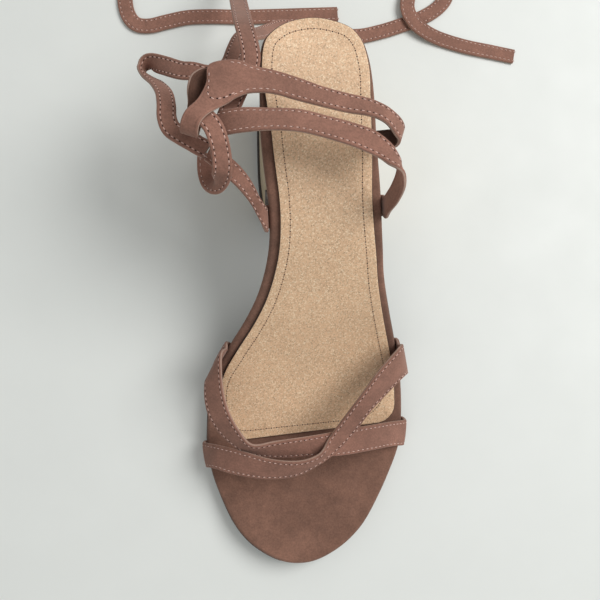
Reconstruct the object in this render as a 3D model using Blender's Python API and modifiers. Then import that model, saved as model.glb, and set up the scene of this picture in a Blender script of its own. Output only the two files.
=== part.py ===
"""Lace-up sandal for the left foot, on a block heel, in metres with +Z up.

The toe points to -Y, the outer side of the foot to +X. The origin is the centre of the
top lift's underside, on the floor. The sole pieces hang from one last line, a curve in
the YZ plane, and from one plan outline. Straps are thin sheets laid between two edges.
"""

import math

import bmesh
import bpy
from mathutils import Vector

# Driving sizes of the sole, in metres
SOLE_LENGTH = 0.214
BALL_WIDTH = 0.086
SEAT_HEIGHT = 0.073
TOE_SPRING = 0.004
FOOTBED_THICK = 0.005
OUTSOLE_THICK = 0.0024
OUTSOLE_LIP = 0.0004
SOCK_THICK = 0.0012
RIM_WIDTH = 0.004
SEAT_DISH = 0.0008
DISH_START = 0.008
EDGE_ROUND = 0.0015
UNDERCUT = 0.002
GAP = 0.0003

# Driving sizes of the heel
LIFT_THICK = 0.006
LIFT_LIP = 0.0009
HEEL_TAPER = 0.0018
HEEL_BACK_RAKE = 0.003
HEEL_TOP_LENGTH = 0.068
HEEL_FOOT_LENGTH = 0.060
BREAST_RADIUS = 0.009

# Driving sizes of the straps
STRAP_THICK = 0.0016
TUCK_DEPTH = 0.006
VAMP_RISE = 0.020
ANKLE_RISE = 0.020
TIE_WIDTH = 0.007
TIE_THICK = 0.0014

TREAD_HEIGHT = OUTSOLE_THICK + GAP + FOOTBED_THICK
UNDER_FOOTBED = -(FOOTBED_THICK + GAP)
BACK_Y = HEEL_BACK_RAKE + HEEL_FOOT_LENGTH / 2
HEEL_FOOT_Z = LIFT_THICK + GAP
TIE_TOP = SEAT_HEIGHT + ANKLE_RISE
OUTSOLE_TRIM = OUTSOLE_THICK * 0.2
NOTCH_ROOM = 4 * GAP
STRAP_COLUMNS = 3

# Where each strap tucks under the footbed: side, front and rear shares
SIDES = ("medial", "lateral")
ROOTS = {
    "over_rear": ("lateral", 0.624, 0.560),
    "over_front": ("medial", 0.805, 0.756),
    "under_rear": ("medial", 0.624, 0.566),
    "under_front": ("lateral", 0.769, 0.716),
    "tie_lateral": ("lateral", 0.339, 0.302),
    "tie_medial": ("medial", 0.362, 0.322),
}

# Last line: share of the length from the heel's back, share of the pitch, share of the toe spring
LAST_LINE = (
    (0.00, 1.000, 0.00),
    (0.12, 0.962, 0.00),
    (0.21, 0.923, 0.00),
    (0.28, 0.877, 0.00),
    (0.33, 0.820, 0.00),
    (0.38, 0.735, 0.00),
    (0.43, 0.620, 0.00),
    (0.48, 0.495, 0.00),
    (0.53, 0.365, 0.00),
    (0.58, 0.240, 0.00),
    (0.63, 0.135, 0.00),
    (0.68, 0.060, 0.00),
    (0.72, 0.020, 0.00),
    (0.76, 0.000, 0.00),
    (0.86, 0.000, 0.00),
    (0.93, 0.000, 0.35),
    (1.00, 0.000, 1.00),
)

# Plan outline: share of the length, then medial and lateral edges as shares of the ball width
OUTLINE = (
    (0.000, -0.012, -0.012),
    (0.005, -0.099, 0.081),
    (0.016, -0.165, 0.150),
    (0.036, -0.222, 0.196),
    (0.058, -0.243, 0.219),
    (0.090, -0.249, 0.237),
    (0.140, -0.248, 0.251),
    (0.205, -0.244, 0.261),
    (0.257, -0.230, 0.274),
    (0.308, -0.212, 0.288),
    (0.355, -0.203, 0.301),
    (0.393, -0.205, 0.315),
    (0.433, -0.222, 0.332),
    (0.474, -0.254, 0.360),
    (0.517, -0.308, 0.395),
    (0.561, -0.378, 0.433),
    (0.612, -0.452, 0.474),
    (0.670, -0.489, 0.498),
    (0.732, -0.500, 0.504),
    (0.776, -0.497, 0.487),
    (0.829, -0.467, 0.434),
    (0.877, -0.420, 0.375),
    (0.924, -0.358, 0.302),
    (0.953, -0.297, 0.233),
    (0.974, -0.229, 0.161),
    (0.990, -0.155, 0.083),
    (0.998, -0.090, 0.018),
    (1.000, -0.036, -0.036),
)

# Insole sock: share of the length, then its inset from each edge as shares of the rim width
SOCK_INSET = (
    (0.00, 0.20, 0.20),
    (0.09, 0.17, 0.27),
    (0.14, 0.50, 0.45),
    (0.21, 0.98, 0.53),
    (0.31, 1.02, 0.90),
    (0.43, 0.88, 0.68),
    (0.56, 0.72, 0.70),
    (0.62, 0.85, 0.78),
    (0.67, 1.35, 0.85),
    (0.73, 1.85, 0.85),
    (1.00, 1.85, 0.85),
)
SOCK_FRONT = (0.752, 0.723)
SOCK_CORNER = 0.009

# Under the arch: share of the length, then how far the footbed's underside and the outsole
# draw in from the medial edge, as shares of the undercut
WAIST = (
    (0.00, 0.0, 0.1),
    (0.30, 0.0, 0.1),
    (0.36, 0.1, 0.6),
    (0.43, 0.7, 1.1),
    (0.50, 1.0, 1.4),
    (0.55, 0.7, 1.1),
    (0.59, 0.1, 0.5),
    (0.66, 0.0, -0.2),
    (1.00, 0.0, -0.2),
)

# Heel block levels: share of the way from the seat down to the lift
HEEL_LEVELS = (0.0, 0.02, 0.045, 0.07, 0.10, 0.13, 0.165, 0.205, 0.25, 1.0)
HEEL_ROWS = (0.0, 0.012, 0.035, 0.075, 0.13, 0.20, 0.30, 0.45, 0.65, 0.85, 0.965, 1.0)
HEEL_TOP_INSET = 0.0005
HEEL_CORNER = 0.0012

# Straps, row by row: front edge (share of the length, share of the ball width, share of the rise),
# then the rear edge in the same way
STRAP_OVER = (
    (0.620, 0.493, 0.32, 0.562, 0.445, 0.35),
    (0.628, 0.450, 0.66, 0.574, 0.408, 0.69),
    (0.660, 0.365, 0.88, 0.614, 0.316, 1.00),
    (0.693, 0.288, 0.99, 0.660, 0.235, 1.10),
    (0.736, 0.214, 0.96, 0.701, 0.163, 1.07),
    (0.771, 0.135, 0.84, 0.741, 0.098, 0.97),
    (0.794, 0.047, 0.85, 0.771, 0.050, 1.04),
    (0.815, -0.065, 0.85, 0.784, -0.050, 1.08),
    (0.820, -0.212, 0.81, 0.780, -0.185, 1.04),
    (0.813, -0.357, 0.66, 0.766, -0.325, 0.81),
    (0.805, -0.455, 0.38, 0.758, -0.440, 0.47),
)
STRAP_UNDER = (
    (0.633, -0.498, 0.46, 0.580, -0.422, 0.50),
    (0.668, -0.500, 0.67, 0.640, -0.415, 0.86),
    (0.707, -0.472, 0.77, 0.688, -0.385, 1.01),
    (0.742, -0.405, 0.75, 0.728, -0.332, 1.02),
    (0.770, -0.307, 0.66, 0.753, -0.272, 0.95),
    (0.782, -0.161, 0.60, 0.748, -0.160, 0.86),
    (0.780, 0.010, 0.72, 0.739, 0.007, 0.86),
    (0.779, 0.156, 0.77, 0.731, 0.130, 0.86),
    (0.773, 0.306, 0.60, 0.722, 0.300, 0.67),
    (0.769, 0.430, 0.30, 0.718, 0.430, 0.36),
)
TIE_LATERAL = (
    (0.335, 0.312, 0.32, 0.301, 0.300, 0.36),
    (0.326, 0.326, 0.70, 0.297, 0.300, 0.60),
    (0.310, 0.332, 1.05, 0.286, 0.308, 0.77),
    (0.292, 0.318, 1.20, 0.275, 0.312, 0.88),
    (0.282, 0.290, 1.16, 0.264, 0.315, 0.90),
    (0.276, 0.258, 1.13, 0.252, 0.300, 0.92),
    (0.265, 0.222, 1.06, 0.237, 0.272, 0.92),
    (0.253, 0.153, 1.05, 0.218, 0.205, 0.91),
    (0.245, 0.094, 1.05, 0.206, 0.100, 0.94),
    (0.236, 0.000, 1.09, 0.198, 0.002, 0.97),
    (0.228, -0.100, 1.10, 0.189, -0.098, 0.95),
    (0.225, -0.214, 1.05, 0.187, -0.214, 0.92),
    (0.225, -0.331, 0.88, 0.184, -0.331, 0.82),
    (0.226, -0.418, 0.68, 0.185, -0.418, 0.66),
)
COLLAR = (
    (0.234, 0.160, 0.83, 0.218, 0.164, 0.75),
    (0.236, 0.233, 0.79, 0.212, 0.237, 0.68),
    (0.238, 0.285, 0.62, 0.204, 0.299, 0.50),
    (0.235, 0.312, 0.63, 0.204, 0.338, 0.46),
    (0.229, 0.316, 0.76, 0.200, 0.342, 0.60),
    (0.224, 0.296, 0.87, 0.192, 0.318, 0.75),
    (0.212, 0.260, 1.00, 0.181, 0.274, 0.82),
    (0.203, 0.217, 1.02, 0.174, 0.235, 0.86),
    (0.198, 0.167, 1.02, 0.167, 0.182, 0.88),
    (0.194, 0.097, 1.00, 0.160, 0.100, 0.87),
    (0.186, 0.000, 1.00, 0.150, 0.000, 0.86),
    (0.174, -0.109, 0.93, 0.136, -0.091, 0.81),
    (0.163, -0.203, 0.88, 0.124, -0.186, 0.78),
    (0.163, -0.291, 0.88, 0.116, -0.282, 0.77),
    (0.171, -0.346, 0.89, 0.107, -0.354, 0.76),
    (0.182, -0.382, 0.94, 0.115, -0.455, 0.74),
    (0.193, -0.427, 1.00, 0.145, -0.464, 0.81),
    (0.204, -0.465, 1.04, 0.174, -0.497, 0.89),
    (0.216, -0.489, 1.04, 0.194, -0.545, 0.94),
    (0.226, -0.498, 0.94, 0.211, -0.566, 0.91),
    (0.229, -0.498, 0.76, 0.219, -0.571, 0.75),
    (0.217, -0.496, 0.59, 0.212, -0.565, 0.55),
    (0.197, -0.484, 0.55, 0.190, -0.553, 0.51),
    (0.174, -0.478, 0.47, 0.171, -0.542, 0.61),
    (0.160, -0.483, 0.41, 0.159, -0.541, 0.73),
    (0.152, -0.482, 0.39, 0.148, -0.535, 0.81),
    (0.145, -0.478, 0.38, 0.134, -0.523, 0.79),
    (0.142, -0.468, 0.41, 0.124, -0.499, 0.74),
    (0.143, -0.453, 0.49, 0.118, -0.476, 0.67),
    (0.145, -0.436, 0.59, 0.118, -0.450, 0.62),
)
TIE_MEDIAL = (
    (0.356, -0.236, 0.20, 0.315, -0.244, 0.23),
    (0.322, -0.288, 0.25, 0.289, -0.280, 0.28),
    (0.298, -0.348, 0.41, 0.267, -0.327, 0.37),
    (0.281, -0.405, 0.50, 0.247, -0.389, 0.47),
    (0.260, -0.479, 0.56, 0.228, -0.441, 0.49),
)

# Tie ends: share of the ball width, share of the length, share of the tie height, roll in degrees
BOW_LOOP = (
    (-0.480, 0.199, 0.925, 0),
    (-0.443, 0.215, 0.928, 5),
    (-0.421, 0.235, 0.922, 5),
    (-0.410, 0.252, 0.888, 5),
    (-0.405, 0.266, 0.872, 5),
    (-0.405, 0.279, 0.853, 5),
    (-0.413, 0.289, 0.808, 5),
    (-0.434, 0.293, 0.748, 5),
    (-0.458, 0.284, 0.705, 5),
    (-0.472, 0.268, 0.690, 5),
    (-0.475, 0.251, 0.705, 5),
    (-0.472, 0.235, 0.725, 5),
)
TIE_LONG = (
    (-0.467, 0.243, 0.827, -5),
    (-0.498, 0.236, 0.823, -5),
    (-0.534, 0.227, 0.817, -5),
    (-0.578, 0.216, 0.810, -5),
    (-0.616, 0.204, 0.802, -5),
    (-0.635, 0.184, 0.790, -10),
    (-0.640, 0.158, 0.765, -20),
    (-0.655, 0.130, 0.720, -30),
    (-0.690, 0.105, 0.665, -45),
    (-0.740, 0.083, 0.610, -60),
    (-0.770, 0.065, 0.585, -80),
    (-0.735, 0.055, 0.600, -60),
    (-0.665, 0.070, 0.655, -25),
    (-0.590, 0.087, 0.705, -5),
    (-0.533, 0.092, 0.726, 0),
    (-0.476, 0.098, 0.733, 0),
    (-0.420, 0.094, 0.726, 0),
    (-0.375, 0.074, 0.704, 0),
    (-0.351, 0.040, 0.660, 0),
    (-0.323, 0.004, 0.590, 0),
    (-0.280, -0.024, 0.490, 0),
    (-0.227, -0.054, 0.365, 0),
    (-0.163, -0.090, 0.235, 0),
    (-0.090, -0.120, 0.130, 0),
    (0.025, -0.127, 0.045, 0),
    (0.165, -0.127, 0.012, 0),
    (0.325, -0.127, 0.011, 0),
    (0.445, -0.138, 0.011, 0),
    (0.555, -0.153, 0.011, 0),
    (0.675, -0.172, 0.011, 0),
    (0.775, -0.197, 0.011, 0),
    (0.830, -0.228, 0.011, 0),
    (0.805, -0.262, 0.011, 0),
    (0.725, -0.272, 0.011, 0),
    (0.640, -0.245, 0.020, 0),
    (0.600, -0.200, 0.032, 0),
    (0.625, -0.165, 0.034, 0),
    (0.695, -0.141, 0.026, 0),
    (0.795, -0.125, 0.013, 0),
    (0.935, -0.110, 0.011, 0),
    (1.075, -0.100, 0.011, 0),
    (1.210, -0.090, 0.011, 0),
)
TIE_SHORT = (
    (-0.405, 0.212, 0.855, 0),
    (-0.386, 0.190, 0.856, 0),
    (-0.360, 0.163, 0.850, 0),
    (-0.332, 0.137, 0.845, 0),
    (-0.302, 0.113, 0.840, 0),
    (-0.287, 0.085, 0.832, 0),
    (-0.298, 0.050, 0.808, 0),
    (-0.316, 0.008, 0.745, 0),
    (-0.328, -0.040, 0.625, 0),
    (-0.340, -0.097, 0.475, 0),
    (-0.352, -0.165, 0.300, 0),
    (-0.375, -0.230, 0.150, 0),
    (-0.430, -0.287, 0.045, 0),
    (-0.525, -0.323, 0.012, 0),
    (-0.660, -0.333, 0.011, 0),
    (-0.795, -0.315, 0.011, 0),
    (-0.895, -0.273, 0.011, 0),
    (-0.945, -0.218, 0.011, 0),
    (-0.940, -0.170, 0.011, 0),
    (-0.895, -0.140, 0.011, 0),
    (-0.820, -0.135, 0.011, 0),
    (-0.720, -0.146, 0.011, 0),
    (-0.610, -0.157, 0.011, 0),
    (-0.480, -0.161, 0.011, 0),
    (-0.325, -0.162, 0.011, 0),
    (-0.160, -0.166, 0.011, 0),
    (0.025, -0.171, 0.011, 0),
    (0.210, -0.176, 0.011, 0),
)

# Colour, roughness and metallic of each material
FINISH = {
    "suede": ((0.235, 0.125, 0.098, 1.0), 0.9, 0.0),
    "sock": ((0.60, 0.40, 0.27, 1.0), 0.55, 0.0),
    "gold": ((0.62, 0.47, 0.26, 1.0), 0.35, 1.0),
    "sole": ((0.050, 0.022, 0.015, 1.0), 0.45, 0.0),
    "lift": ((0.030, 0.020, 0.016, 1.0), 0.6, 0.0),
}


def column(table, index):
    """One column of a table."""
    return [row[index] for row in table]


def lookup(keys, values, at):
    """Monotone cubic through the values, so the line never bulges past them."""
    last = len(keys) - 1
    at = min(max(at, keys[0]), keys[last])
    spans = [keys[i + 1] - keys[i] for i in range(last)]
    rates = [(values[i + 1] - values[i]) / spans[i] for i in range(last)]
    bends = [rates[0]]
    for i in range(1, last):
        before, after = rates[i - 1], rates[i]
        bends.append(0.0 if before * after <= 0 else 2 * before * after / (before + after))
    bends.append(rates[-1])
    i = max(0, min(last - 1, sum(1 for key in keys if key < at) - 1))
    t = (at - keys[i]) / spans[i]
    start = (2 * t ** 3 - 3 * t ** 2 + 1) * values[i] + (t ** 3 - 2 * t ** 2 + t) * spans[i] * bends[i]
    end = (3 * t ** 2 - 2 * t ** 3) * values[i + 1] + (t ** 3 - t ** 2) * spans[i] * bends[i + 1]
    return start + end


def blend(a, b, t):
    """Linear mix of two numbers or vectors."""
    return a + (b - a) * t


def curve_through(points, steps):
    """Catmull-Rom points through the list, with the given number of steps to each span."""
    out = []
    for i in range(len(points) - 1):
        p0 = points[max(i - 1, 0)]
        p1, p2 = points[i], points[i + 1]
        p3 = points[min(i + 2, len(points) - 1)]
        for k in range(steps):
            t = k / steps
            out.append(0.5 * (2 * p1 + (p2 - p0) * t + (2 * p0 - 5 * p1 + 4 * p2 - p3) * t ** 2
                              + (3 * p1 - p0 - 3 * p2 + p3) * t ** 3))
    out.append(points[-1].copy())
    return out


def share_at(y):
    """Share of the length at a plan position, from the heel's back."""
    return (BACK_Y - y) / SOLE_LENGTH


def y_at(share):
    """Plan position at a share of the length."""
    return BACK_Y - share * SOLE_LENGTH


def line_height(share):
    """Height of the footbed's top along the last line."""
    pitch = lookup(LINE_AT, LINE_PITCH, share)
    spring = lookup(LINE_AT, LINE_SPRING, share)
    return TREAD_HEIGHT + pitch * (SEAT_HEIGHT - TREAD_HEIGHT) + spring * TOE_SPRING


def on_line(x, y, rise, cupped=False):
    """Point at plan (x, y), moved off the last line along its normal."""
    share = share_at(y)
    step = 0.004
    slope = (line_height(share + step) - line_height(share - step)) / (2 * step * SOLE_LENGTH)
    size = math.hypot(1, slope)
    z = line_height(share)
    if cupped:
        low, high = edges_at(y, 0.0)
        half = max((high - low) / 2, EDGE_ROUND)
        across = (x - (low + high) / 2) / half
        fade = min(max((half - DISH_START) / DISH_START, 0.0), 1.0)
        z -= SEAT_DISH * fade * max(0.0, 1 - across ** 2)
    return Vector((x, y + rise * slope / size, z + rise / size))


def outline_loop():
    """Closed plan outline as medial points, heel to toe, and lateral points in the same rows."""
    rows = [(y_at(at), medial * BALL_WIDTH, lateral * BALL_WIDTH) for at, medial, lateral in OUTLINE]
    medial = [Vector((row[1], row[0])) for row in rows]
    lateral = [Vector((row[2], row[0])) for row in rows]
    around = medial + lateral[-2:0:-1]
    count = len(around)
    fine = []
    for i in range(count):
        span = [around[(i + k) % count] for k in (-1, 0, 1, 2)]
        fine += curve_through(span, 2)[2:4]
    rows = len(OUTLINE) * 2 - 1
    return fine[:rows], [fine[0]] + fine[:rows - 2:-1][:rows - 1]


def plan_rows(inset):
    """Outline rows moved in by an inset, which may be a function of the side and the share."""
    medial, lateral = OUTLINE_ROWS
    around = medial + lateral[-2:0:-1]
    count = len(around)
    moved = []
    for i, point in enumerate(around):
        along = around[(i + 1) % count] - around[i - 1]
        along.normalize()
        side = 1 if i < len(medial) else 2
        depth = inset(side, share_at(point.y)) if callable(inset) else inset
        moved.append(point - Vector((along.y, -along.x)) * depth)
    tail = moved[len(medial):]
    return moved[:len(medial)], [moved[0]] + tail[::-1] + [moved[len(medial) - 1]]


def along_y(points, y):
    """X of a row of plan points at a position along the shoe."""
    for a, b in zip(points, points[1:]):
        if min(a.y, b.y) <= y <= max(a.y, b.y) and a.y != b.y:
            return blend(a.x, b.x, (y - a.y) / (b.y - a.y))
    return points[0].x if y > points[0].y else points[-1].x


def edges_at(y, inset):
    """Medial and lateral X of the outline at a position along the shoe."""
    if inset not in EDGE_ROWS:
        EDGE_ROWS[inset] = plan_rows(inset)
    medial, lateral = EDGE_ROWS[inset]
    return along_y(medial, y), along_y(lateral, y)


def sheet_grid(medial, lateral, columns, place):
    """Grid of points between two plan edges, placed by a function of the plan point."""
    grid = []
    for a, b in zip(medial, lateral):
        spots = [blend(a, b, c / columns) for c in range(columns + 1)]
        grid.append([place(spot.x, spot.y) for spot in spots])
    return grid


def stack_solid(name, levels, finish):
    """Body from a stack of point grids of one size: caps on the first and last, walls between."""
    tall, wide = len(levels[0]), len(levels[0][0])
    border = [(0, c) for c in range(wide)]
    border += [(r, wide - 1) for r in range(1, tall)]
    border += [(tall - 1, c) for c in range(wide - 2, -1, -1)]
    border += [(r, 0) for r in range(tall - 2, 0, -1)]
    edge = set(border)
    bm = bmesh.new()
    stack = []
    for depth, grid in enumerate(levels):
        cap = depth in (0, len(levels) - 1)
        spots = {}
        for r in range(tall):
            for c in range(wide):
                if cap or (r, c) in edge:
                    spots[(r, c)] = bm.verts.new(grid[r][c])
        stack.append(spots)
    for spots in (stack[0], stack[-1]):
        for r in range(tall - 1):
            for c in range(wide - 1):
                bm.faces.new((spots[(r, c)], spots[(r + 1, c)], spots[(r + 1, c + 1)], spots[(r, c + 1)]))
    for upper, lower in zip(stack, stack[1:]):
        for i, here in enumerate(border):
            after = border[(i + 1) % len(border)]
            bm.faces.new((upper[here], upper[after], lower[after], lower[here]))
    bmesh.ops.remove_doubles(bm, verts=bm.verts, dist=0.000005)
    bmesh.ops.recalc_face_normals(bm, faces=bm.faces)
    return add_object(name, bm, finish)


def add_object(name, bm, finish):
    """Object from a finished mesh, in the part's collection."""
    mesh = bpy.data.meshes.new(name)
    bm.to_mesh(mesh)
    bm.free()
    item = bpy.data.objects.new(name, mesh)
    PART.objects.link(item)
    if finish:
        mesh.materials.append(make_material(name, finish))
    return item


def make_material(name, finish):
    """Principled material of one piece."""
    colour, rough, metal = FINISH[finish]
    material = bpy.data.materials.new(name)
    material.use_nodes = True
    shader = material.node_tree.nodes["Principled BSDF"]
    shader.inputs["Base Color"].default_value = colour
    shader.inputs["Roughness"].default_value = rough
    shader.inputs["Metallic"].default_value = metal
    material.diffuse_color = colour
    return material


def as_tool(item):
    """Turn an object into a hidden tool of a Boolean."""
    PART.objects.unlink(item)
    TOOLS.objects.link(item)
    item.hide_render = True
    item.display_type = "WIRE"


def add_solidify(item, thickness):
    """Thickness laid evenly on both sides of an open grid."""
    step = item.modifiers.new("thickness", "SOLIDIFY")
    step.thickness = thickness
    step.offset = 0.0
    step.use_even_offset = False
    step.use_quality_normals = True


def add_boolean(item, tool, operation):
    """Exact Boolean with a tool object."""
    step = item.modifiers.new(operation.lower(), "BOOLEAN")
    step.operation = operation
    step.solver = "EXACT"
    step.object = tool


def flat_layer(inset, rise, columns, cupped=False):
    """Level of a layer under the last line: the outline moved in, at one rise."""
    medial, lateral = plan_rows(inset)
    return sheet_grid(medial, lateral, columns, lambda x, y: on_line(x, y, rise, cupped))


def waist(share, index):
    """How far the footbed's underside (1) or the outsole (2) draws in under the arch."""
    return UNDERCUT * lookup(column(WAIST, 0), column(WAIST, index), share)


def drawn_in(side, share):
    """Inset of the footbed's underside: only its medial edge draws in."""
    return waist(share, 1) if side == 1 else 0.0


def build_footbed():
    """Footbed with rounded edges, notched from below for each strap that tucks under it."""
    levels = [
        flat_layer(EDGE_ROUND, 0.0, 6, True),
        flat_layer(EDGE_ROUND * 0.3, -EDGE_ROUND * 0.3, 6),
        flat_layer(0.0, -EDGE_ROUND, 6),
        flat_layer(drawn_in, EDGE_ROUND * 0.5 - FOOTBED_THICK, 6),
        flat_layer(lambda side, share: drawn_in(side, share) + EDGE_ROUND * 0.5, -FOOTBED_THICK, 6),
    ]
    footbed = stack_solid("footbed", levels, "suede")
    bm = bmesh.new()
    for side, front, rear in ROOTS.values():
        add_grid(bm, notch_rows(side, front, rear))
    cutter = add_object("notch_cutter", bm, None)
    as_tool(cutter)
    add_solidify(cutter, STRAP_THICK + NOTCH_ROOM)
    add_boolean(footbed, cutter, "DIFFERENCE")


def sock_edges(trim):
    """Plan edges of the sock, moved in by a trim, down to a straight front with round corners."""

    def inset(side, share):
        return trim + RIM_WIDTH * lookup(column(SOCK_INSET, 0), column(SOCK_INSET, side), share)

    edges = []
    for points, share in zip(plan_rows(inset), SOCK_FRONT):
        front = y_at(share) + trim
        rows = points[:SOCK_FULL_ROWS]
        gap = (rows[-1].y - front - SOCK_CORNER) / 3
        for k in range(1, 4):
            y = points[SOCK_FULL_ROWS - 1].y - gap * k
            rows.append(Vector((along_y(points, y), y)))
        inward = 1 if rows[-1].x < 0 else -1
        for turn in (30, 60, 90):
            y = front + SOCK_CORNER * (1 - math.sin(math.radians(turn)))
            x = along_y(points, y) + inward * SOCK_CORNER * (1 - math.cos(math.radians(turn)))
            rows.append(Vector((x, y)))
        edges.append(rows)
    return edges


def build_sock():
    """Insole sock on the footbed, ending in a straight front edge with rounded corners."""
    levels = []
    for depth, trim in ((1.0, SOCK_THICK * 0.3), (0.6, 0.0), (0.0, 0.0)):
        rise = GAP + SOCK_THICK * depth
        medial, lateral = sock_edges(trim)
        levels.append(sheet_grid(medial, lateral, 6, lambda x, y, r=rise: on_line(x, y, r, True)))
    stack_solid("insole_sock", levels, "sock")


def under_height(y):
    """Height of the face under the footbed, at a plan position."""
    source = y
    for _ in range(4):
        source += y - on_line(0.0, source, UNDER_FOOTBED).y
    return on_line(0.0, source, UNDER_FOOTBED).z


def breast_arc():
    """Centre of the fillet over the heel breast, and where it meets the shank."""
    centre_y = y_at(HEEL_TOP_LENGTH / SOLE_LENGTH)
    best = None
    for k in range(1, 80):
        y = centre_y - BREAST_RADIUS * k / 80
        z = under_height(y) - math.sqrt(BREAST_RADIUS ** 2 - (y - centre_y) ** 2)
        if best is None or z < best[0]:
            best = (z, y)
    return centre_y, best[0], best[1]


def breast_y(z, radius):
    """Front of the heel at a height: along the fillet above its centre, then raked down."""
    centre_y, centre_z, _ = BREAST
    if z >= centre_z:
        return centre_y + math.sqrt(max(radius ** 2 - (z - centre_z) ** 2, 0.0))
    foot = y_at((HEEL_BACK_RAKE + HEEL_FOOT_LENGTH - OUTSOLE_THICK - 2 * GAP) / SOLE_LENGTH)
    foot += radius - BREAST_RADIUS
    t = (centre_z - z) / (centre_z - HEEL_FOOT_Z)
    return blend(centre_y + radius, foot, t)


def heel_grid(level, inset, front, place):
    """Grid of one level of the heel: the outline's back, cut at the front and raked in."""
    back = BACK_Y - inset
    rake = level * (HEEL_BACK_RAKE - HEEL_TAPER + LIFT_LIP)
    grid = []
    for t in HEEL_ROWS:
        source = blend(back, front, t)
        low, high = edges_at(source, inset)
        if t == 0.0:
            low = high = (low + high) / 2
        if t == 1.0:
            low, high = low + HEEL_CORNER, high - HEEL_CORNER
        y = source - (1 - t) * rake
        grid.append([place(blend(low, high, c / 6), y) for c in range(7)])
    return grid


def build_heel():
    """Block heel from the footbed down to the lift, its breast following the fillet."""
    levels = []
    for level in HEEL_LEVELS:
        inset = blend(HEEL_TOP_INSET, HEEL_TAPER, level)
        grip = max(level, HEEL_LEVELS[1])
        front = BREAST[0] + BREAST_RADIUS
        for _ in range(12):
            front = breast_y(blend(under_height(front), HEEL_FOOT_Z, grip), BREAST_RADIUS + GAP)

        def place(x, y, v=level):
            return Vector((x, y, blend(under_height(y), HEEL_FOOT_Z, v)))

        levels.append(heel_grid(level, round(inset, 6), front, place))
    stack_solid("heel_block", levels, "gold")


def build_lift():
    """Top lift, a little proud of the block all round."""
    front = y_at((HEEL_BACK_RAKE + HEEL_FOOT_LENGTH) / SOLE_LENGTH)
    levels = []
    for z, trim in ((LIFT_THICK, 0.0), (0.0006, 0.0), (0.0, 0.0005)):
        inset = round(HEEL_TAPER - LIFT_LIP + trim, 6)
        levels.append(heel_grid(1.0, inset, front + trim, lambda x, y, h=z: Vector((x, y, h))))
    stack_solid("top_lift", levels, "lift")


def outsole_stations():
    """Stations of the outsole's inner face: point, outward direction, plan position, two insets."""
    stations = []
    centre_y, centre_z, touch = BREAST
    for medial in OUTLINE_ROWS[0][::-1]:
        if medial.y < touch - 0.003:
            spot = on_line(0.0, medial.y, UNDER_FOOTBED)
            out = (spot - on_line(0.0, medial.y, 0.0)).normalized()
            stations.append((spot, out, medial.y, waist(share_at(medial.y), 2), -OUTSOLE_LIP))
    start = waist(share_at(touch), 2)
    for turn in (20, 35, 50, 65, 80, 90):
        t = (turn - 20) / 70
        angle = math.radians(blend(TOUCH_TURN, 90, t))
        out = Vector((0, -math.sin(angle), -math.cos(angle)))
        spot = Vector((0, centre_y, centre_z)) - out * BREAST_RADIUS
        insets = blend(start, HEEL_TOP_INSET, t), blend(-OUTSOLE_LIP, HEEL_TOP_INSET, t)
        stations.append((spot, out, spot.y, *insets))
    for share in (0.25, 0.5, 0.75, 1.0):
        z = blend(centre_z, HEEL_FOOT_Z, share)
        spot = Vector((0, breast_y(z, BREAST_RADIUS), z))
        inset = blend(HEEL_TOP_INSET, HEEL_TAPER, share)
        stations.append((spot, Vector((0, -1, 0)), spot.y, inset, inset))
    return stations


def build_outsole():
    """Outsole from the toe along the shank, over the fillet and down the heel breast."""
    levels = []
    for depth, trim in ((0.0, 0.0), (OUTSOLE_THICK * 0.7, 0.0), (OUTSOLE_THICK, OUTSOLE_TRIM)):
        grid = []
        for spot, out, y, medial, lateral in outsole_stations():
            low, high = outsole_edges(y, medial + trim, lateral + trim)
            place = spot + out * depth
            grid.append([Vector((blend(low, high, c / 4), place.y, place.z)) for c in range(5)])
        levels.append(grid)
    stack_solid("outsole", levels, "sole")


def outsole_edges(y, medial, lateral):
    """Edges of the outsole at a plan position, closing to a point at the toe."""
    low = edges_at(y, round(medial, 5))[0]
    high = edges_at(y, round(lateral, 5))[1]
    if y <= OUTLINE_ROWS[0][-1].y + 0.00001:
        low = high = OUTLINE_ROWS[0][-1].x
    return low, high


def rim_point(side, share, out, rise):
    """Point beside the footbed's rim, moved outward in plan and off the last line."""
    y = y_at(share)
    step = 0.002
    edge = SIDES.index(side)
    here = edges_at(y, 0.0)[edge]
    lean = (edges_at(y + step, 0.0)[edge] - edges_at(y - step, 0.0)[edge]) / (2 * step)
    size = math.hypot(1, lean)
    face = 1 if side == "lateral" else -1
    return on_line(here + face * out / size, y - face * lean * out / size, rise)


def rim_row(side, front, rear, out, rise):
    """Points across a strap beside the rim, from its front edge to its rear edge."""
    shares = [blend(front, rear, c / STRAP_COLUMNS) for c in range(STRAP_COLUMNS + 1)]
    return [rim_point(side, share, out, rise) for share in shares]


def tuck_rows(root):
    """Rows of a strap's end, from under the footbed out to the rim and up past it."""
    side, front, rear = ROOTS[root]
    level = STRAP_THICK / 2 - FOOTBED_THICK + GAP / 3
    clear = GAP * 1.4 + STRAP_THICK / 2
    turns = (
        (-TUCK_DEPTH, level),
        (-STRAP_THICK * 0.4, level),
        (clear * 0.7, level + STRAP_THICK * 0.3),
        (clear, level + STRAP_THICK * 1.15),
        (clear, 0.001),
    )
    return [rim_row(side, front, rear, out, rise) for out, rise in turns]


def notch_rows(side, front, rear):
    """Rows of the slab that cuts a strap's notch under the footbed."""
    extra = GAP / SOLE_LENGTH * 1.5
    level = (STRAP_THICK + NOTCH_ROOM) / 2 - FOOTBED_THICK - GAP
    outs = (-TUCK_DEPTH - GAP, -TUCK_DEPTH / 2, 0.003)
    return [rim_row(side, front + extra, rear - extra, out, level) for out in outs]


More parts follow.
